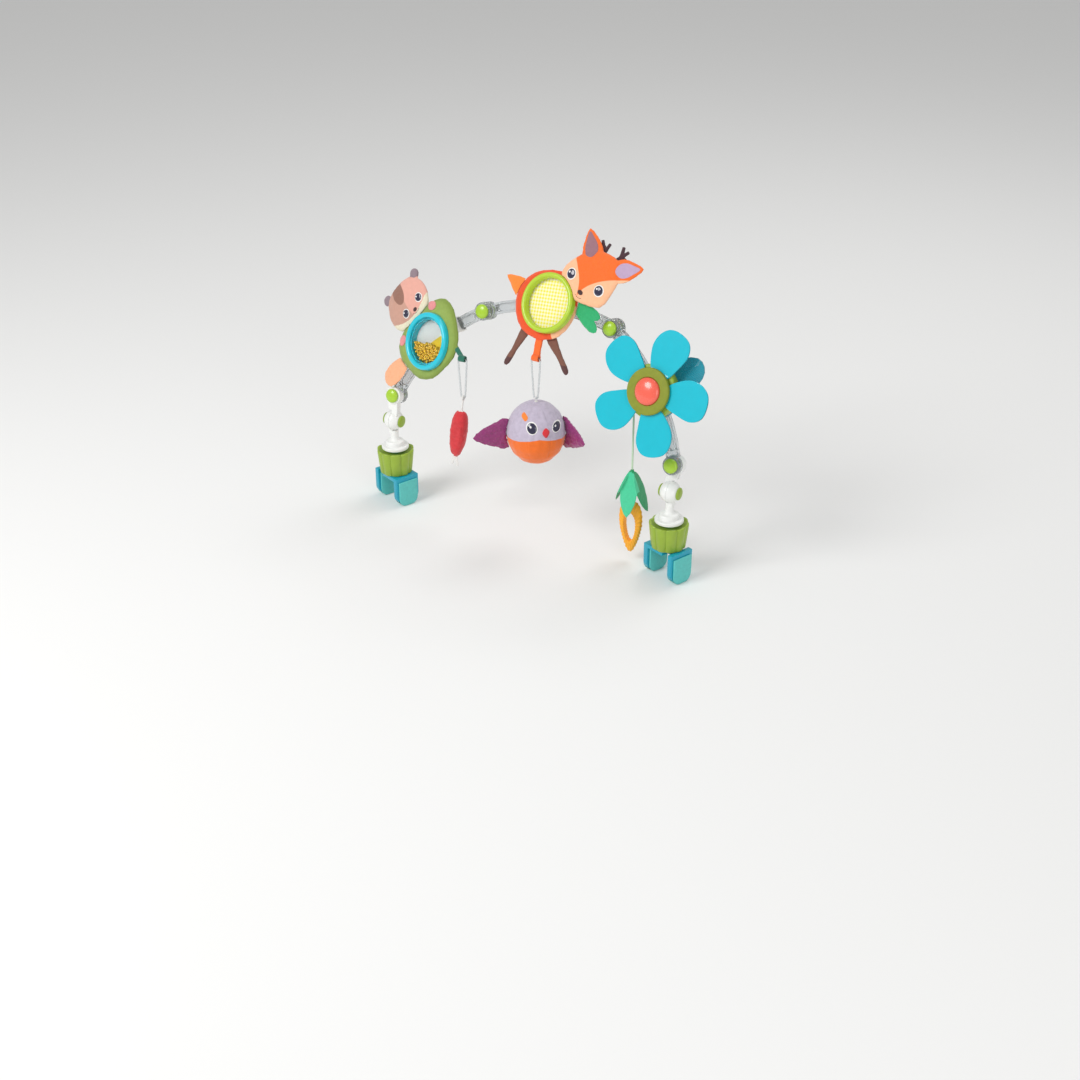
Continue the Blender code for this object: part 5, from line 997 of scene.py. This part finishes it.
stripes = [sums(GINGHAM, "LESS_THAN", sums(GINGHAM, "FRACT", sums(GINGHAM, "DIVIDE", spot, CHECK_PITCH)), 0.5)
           for spot in (check_spots[0], check_spots[1])]
printed(GINGHAM, (240, 226, 58), sums(GINGHAM, "MULTIPLY", sums(GINGHAM, "ADD", *stripes), 0.5))
gingham = dress("window_fabric", placed(turned(in_mm(CLOTH_PROFILE), 96), WINDOW), GINGHAM, "cloth")
wrinkled(gingham, 9, 0.35)


# The owl: a round stuffed ball of lilac velour over orange, sewn from panels, with padded
# magenta satin wings, hung from the deer's orange tape by the same clear strap.
OWL_DROP = 39.1
OWL_TURN = radians(38)
OWL_LOOP_FOOT = -3.4
OWL_PANEL = pi / 4
PANEL_SEAM_HALF = 0.9
PANEL_SEAM_DEPTH = 0.5
OWL_SLOPE = 0.18
OWL_LINE = 4.5
OWL_EYES = (("left", (-7.6, 16.3), 5.0), ("right", (19.5, 14.7), 4.4))
BEAK = ((7.2, 16.1), (11.2, 11.5), (7.2, 6.3), (3.2, 11.5))
OWL_PATCH = ((-14, 28.9), (-10.9, 25.5), (-14, 22.1), (-17.1, 25.5))
owl_pivot = Vector(JOINT["owl_swing"]["pos_m"])
OWL_SPIN = Matrix.Rotation(OWL_TURN, 4, "Z") @ Matrix.Rotation(pi / 2, 4, "X")
OWL = Matrix.Translation(owl_pivot - Vector((0, 0, OWL_DROP * MM))) @ OWL_SPIN
OWL_LILAC = velour("owl_velour", (190, 180, 198), 0.7, 0.2)
WING_MAGENTA = finish("wing_satin", (138, 32, 104), 0.42, 0.3, 2.5, 1.4, 0.3, Sheen_Weight=0.3,
                      Coat_Weight=0.15)
BEAK_RED = felt("beak_felt", (214, 40, 50))

hanger("owl_clip")
owl_spots = toy_places(OWL_LILAC, OWL)
owl_side = sums(OWL_LILAC, "ABSOLUTE", owl_spots[0])
dip = sums(OWL_LILAC, "ADD", owl_spots[1], sums(OWL_LILAC, "MULTIPLY", owl_side, OWL_SLOPE))
printed(OWL_LILAC, (240, 112, 30), below(OWL_LILAC, dip, OWL_LINE))
owl = softened("owl_body", [OWL_LILAC, ROOT_WHITE], 0.9, 10)
region_of(owl, Matrix.Translation(owl_pivot), 1, lambda spot: spot.z > OWL_LOOP_FOOT)
inverse = OWL.inverted()
for vert, normal in with_normals(owl):
    spot = inverse @ vert.co / MM
    across = Vector((spot.x, spot.z))
    panel = abs(((across.angle_signed(Vector((0, 1)), 0.0) + OWL_PANEL / 2) / OWL_PANEL) % 1 - 0.5)
    seam = max(0.0, 1 - abs(panel - 0.5) * OWL_PANEL * across.length / PANEL_SEAM_HALF)
    vert.co -= normal * PANEL_SEAM_DEPTH * MM * seam * seam
wrinkled(owl, 9, 0.8)
for node in ("owl_left_wing", "owl_right_wing"):
    wing = softened(node, WING_MAGENTA, 0.6, 3)
    wrinkled(wing, 4, 1.4)
owl_face = (OWL, owl, "owl_toy")
for side, place, size in OWL_EYES:
    plain_eye(f"owl_{side}_eye", place, owl_face, size)
patch("owl_beak", smooth_outline(BEAK, 5), owl_face, BEAK_RED, "magenta_felt", 1.0, 0.6)
patch("owl_diamond", smooth_outline(OWL_PATCH, 5), owl_face, TAIL_ORANGE, "orange_felt")


# The music flower: a case clipped to the right link, with five glossy petals that turn round
# an olive bezel and a domed coral button. A fixed darker leaf sticks out behind them.
PETAL_CYAN = finish("petal_gloss", (0, 186, 206), 0.22, tint=0.05, Coat_Weight=0.3, Coat_Roughness=0.08)
LEAF_TEAL = finish("case_teal", (6, 146, 166), 0.4, tint=0.05, Coat_Weight=0.15)
BEZEL_OLIVE = finish("olive_bezel", (132, 142, 30), 0.62, tint=0.16, patch=5, grain=0.9, depth=0.06)
BUTTON_CORAL = finish("coral_button", (242, 98, 78), 0.26, tint=0.04, Coat_Weight=0.6, Coat_Roughness=0.08)
FLOWER_SHIFT = Matrix.Translation((4 * MM, 7.5 * MM, 0))
FLOWER = toy_axes(HUB["right_mid"], HUB["right_hub"], 0, radians(-7)) @ FLOWER_SHIFT
CASE_EDGE = 0.4
DOOR_EDGE = 0.25
FACE_CHAMFER = 0.3
CASE_FACE = 23.8
PETAL_BACK = CASE_FACE + GAP
TUBE_TOP = CASE_FACE + 3.4
BEZEL_RADIUS = 24.5
BEZEL_BORE = 14.6
BEZEL_ROUND = 1.4
BEZEL_LIP = 0.5
BEZEL_BACK = TUBE_TOP + GAP
BEZEL_TOP = BEZEL_BACK + 3.4
BUTTON_RADIUS = 14.3
BUTTON_RISE = 5.6
BUTTON_SKIRT = 6.2
PETALS = 5
PETAL_TURN = radians(34)
PETAL_BORE = 17.3
PETAL_HUB_RADIUS = 23
HUB_THICK = 2.2
HUB_CHAMFER = 0.4
PETAL_MIDDLE = (0, 45.7)
PETAL_OUTLINE = ((-9.2, 19), (-21, 38.4), (-21, 53.9), (-12.6, 65.1), (0.8, 67.5), (13.4, 63.6), (18.9, 52),
                 (16, 36.5), (8.4, 19))
PETAL_LEVELS = ((0.985, -0.2), (1.0, 0.2), (1.0, 1.5), (0.993, 1.95), (0.98, 2.1), (0.967, 1.95),
                (0.955, 1.5), (0.93, 1.2), (0.85, 1.15), (0.7, 1.3), (0.5, 1.45), (0.3, 1.53), (0.12, 1.55))
TUBE_REACH = 17.2
BEZEL_REACH = 25
CUT_TOP = 60
RIB_PITCH = 1.6
RIB_DEPTH = 0.25


def ribbed(made, value, pitch, depth):
    """Fine moulded ribs across one direction, over the grain; pitch and depth in millimetres."""
    wave = sums(made, "SINE", sums(made, "MULTIPLY", value, 2 * pi / pitch))
    normal = shader_of(made).inputs["Normal"]
    relief = add(made, "ShaderNodeBump", {"Strength": 0.8, "Distance": depth * MM, "Height": wave,
                                          "Normal": normal.links[0].from_socket})
    made.node_tree.links.new(relief.outputs[0], normal)


def petal_blade(turn):
    """One blade: a thin raised round lip at its edge and a shallow dish with a low crown."""
    blade = raised(smooth_outline(PETAL_OUTLINE, 7), PETAL_MIDDLE, PETAL_LEVELS)
    return placed(blade, Matrix.Rotation(turn, 4, "Z") @ Matrix.Translation((0, 0, (PETAL_BACK + GAP) * MM)))


rounded("case_front", OLIVE, CASE_EDGE)
rounded("case_rear", LEAF_TEAL, CASE_EDGE)
rounded("battery_door", LEAF_TEAL, DOOR_EDGE)
leaf_spots = toy_places(LEAF_TEAL, FLOWER)
ribbed(LEAF_TEAL, leaf_spots[0], RIB_PITCH, RIB_DEPTH)
hub_top = PETAL_BACK + HUB_THICK
hub_profile = [(PETAL_BORE, PETAL_BACK), (PETAL_HUB_RADIUS, PETAL_BACK),
               (PETAL_HUB_RADIUS, hub_top - HUB_CHAMFER),
               (PETAL_HUB_RADIUS - HUB_CHAMFER, hub_top), (PETAL_BORE, hub_top)]
blades = [petal_blade(PETAL_TURN + 2 * pi * number / PETALS) for number in range(PETALS)]
clear_of = [turned(in_mm([(0, foot), (reach, foot), (reach, CUT_TOP), (0, CUT_TOP)]), 64)
            for foot, reach in ((0, TUBE_REACH), (BEZEL_BACK - GAP, BEZEL_REACH))]
petals = merged(turned(in_mm(hub_profile), 96, hollow=True), joins=blades, cuts=clear_of)
bmesh.ops.triangulate(petals, faces=[face for face in petals.faces if len(face.verts) > 4])
dress("flower_petals", placed(petals, FLOWER), PETAL_CYAN)
bezel_profile = [(BEZEL_BORE, BEZEL_BACK), (BEZEL_RADIUS - FACE_CHAMFER, BEZEL_BACK),
                 (BEZEL_RADIUS, BEZEL_BACK + FACE_CHAMFER), (BEZEL_RADIUS, BEZEL_TOP - BEZEL_ROUND),
                 *arc((BEZEL_RADIUS - BEZEL_ROUND, BEZEL_TOP - BEZEL_ROUND), BEZEL_ROUND, 0, 90, 6),
                 (BEZEL_BORE + BEZEL_LIP + FACE_CHAMFER, BEZEL_TOP),
                 *arc((BEZEL_BORE + BEZEL_LIP, BEZEL_TOP - BEZEL_LIP), BEZEL_LIP, 90, 180, 4)]
dress("flower_bezel", placed(turned(in_mm(bezel_profile), 96, hollow=True), FLOWER), BEZEL_OLIVE)
button_foot = BEZEL_TOP - BUTTON_SKIRT
button_profile = [(0, button_foot), (BUTTON_RADIUS - FACE_CHAMFER, button_foot),
                  (BUTTON_RADIUS, button_foot + FACE_CHAMFER),
                  *crown(BUTTON_RADIUS, BEZEL_TOP, BUTTON_RISE, 14)]
dress("music_button", placed(turned(in_mm(button_profile), 96), FLOWER), BUTTON_CORAL)

STEEL = finish("screw_steel", (186, 188, 190), 0.3, tint=0.05, Metallic=1.0)
BOARD = finish("board_green", (24, 92, 56), 0.5)
SPEAKER_BLACK = finish("speaker_black", (34, 34, 36), 0.55)
for node, material in (("door_screw", STEEL), ("cell_1", STEEL), ("cell_2", STEEL),
                       ("speaker", SPEAKER_BLACK), ("circuit_board", BOARD)):
    frame["nodes"][node].material_slots[0].material = material


# The carrot: an amber teether with fine ribs round its bar, under felt leaves that are sewn to
# the end of a straight pale green cord from the flower's case.
CORD_GREEN = finish("pale_cord", (190, 216, 184), 0.8, 0.1, 2, 0.6, 0.15)
LEAF_MINT = felt("mint_felt", (66, 200, 150))
LEAF_GREEN = felt("deep_green_felt", (16, 150, 92))
AMBER = finish("amber_rubber", (250, 174, 34), 0.42, tint=0.06, Coat_Weight=0.1)
CORD_LENGTH = 66.5
CORD_DIAMETER = 2.0
CORD_STEPS = 15
LEAF_HALF = 11
LEAF_FRONT = -2.2
TEETHER_RIBS = 30
TEETHER_RIB_DEPTH = 0.3
cord_top = Vector(JOINT["carrot_swing"]["pos_m"])
cord_curve = bpy.data.curves.new("carrot_cord", "CURVE")
cord_curve.dimensions = "3D"
cord_curve.bevel_depth = CORD_DIAMETER / 2 * MM
cord_curve.bevel_resolution = 4
cord_curve.use_fill_caps = True
run = cord_curve.splines.new("POLY")
run.points.add(CORD_STEPS)
for index, point in enumerate(run.points):
    point.co = (*(cord_top - Vector((0, 0, CORD_LENGTH * MM * index / CORD_STEPS))), 1)
cord_curve.materials.append(CORD_GREEN)
cord = in_scene("carrot_cord", cord_curve)
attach(cord, "carrot_toy")
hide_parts("carrot_string")

CARROT = Matrix.Translation(cord_top - Vector((0, 0, (CORD_LENGTH + GAP) * MM)))
leaves = softened("carrot_leaves", [LEAF_GREEN, LEAF_MINT], 0.45, 2)
region_of(leaves, CARROT, 1, lambda spot: abs(spot.x) < LEAF_HALF and spot.y < LEAF_FRONT)
wrinkled(leaves, 8, 0.5)
teether = softened("carrot_ring", AMBER, 0.5, 5, "teether")
teether_low, teether_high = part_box("carrot_ring")
teether_middle = (Vector(teether_low) + Vector(teether_high)) / 2
for vert, normal in with_normals(teether):
    arm = vert.co - teether_middle
    swing = Vector((arm.x, arm.z * 0.55)).angle_signed(Vector((0, 1)), 0.0)
    vert.co += normal * TEETHER_RIB_DEPTH * MM * sin(swing * TEETHER_RIBS + 2.4 * normal.y)
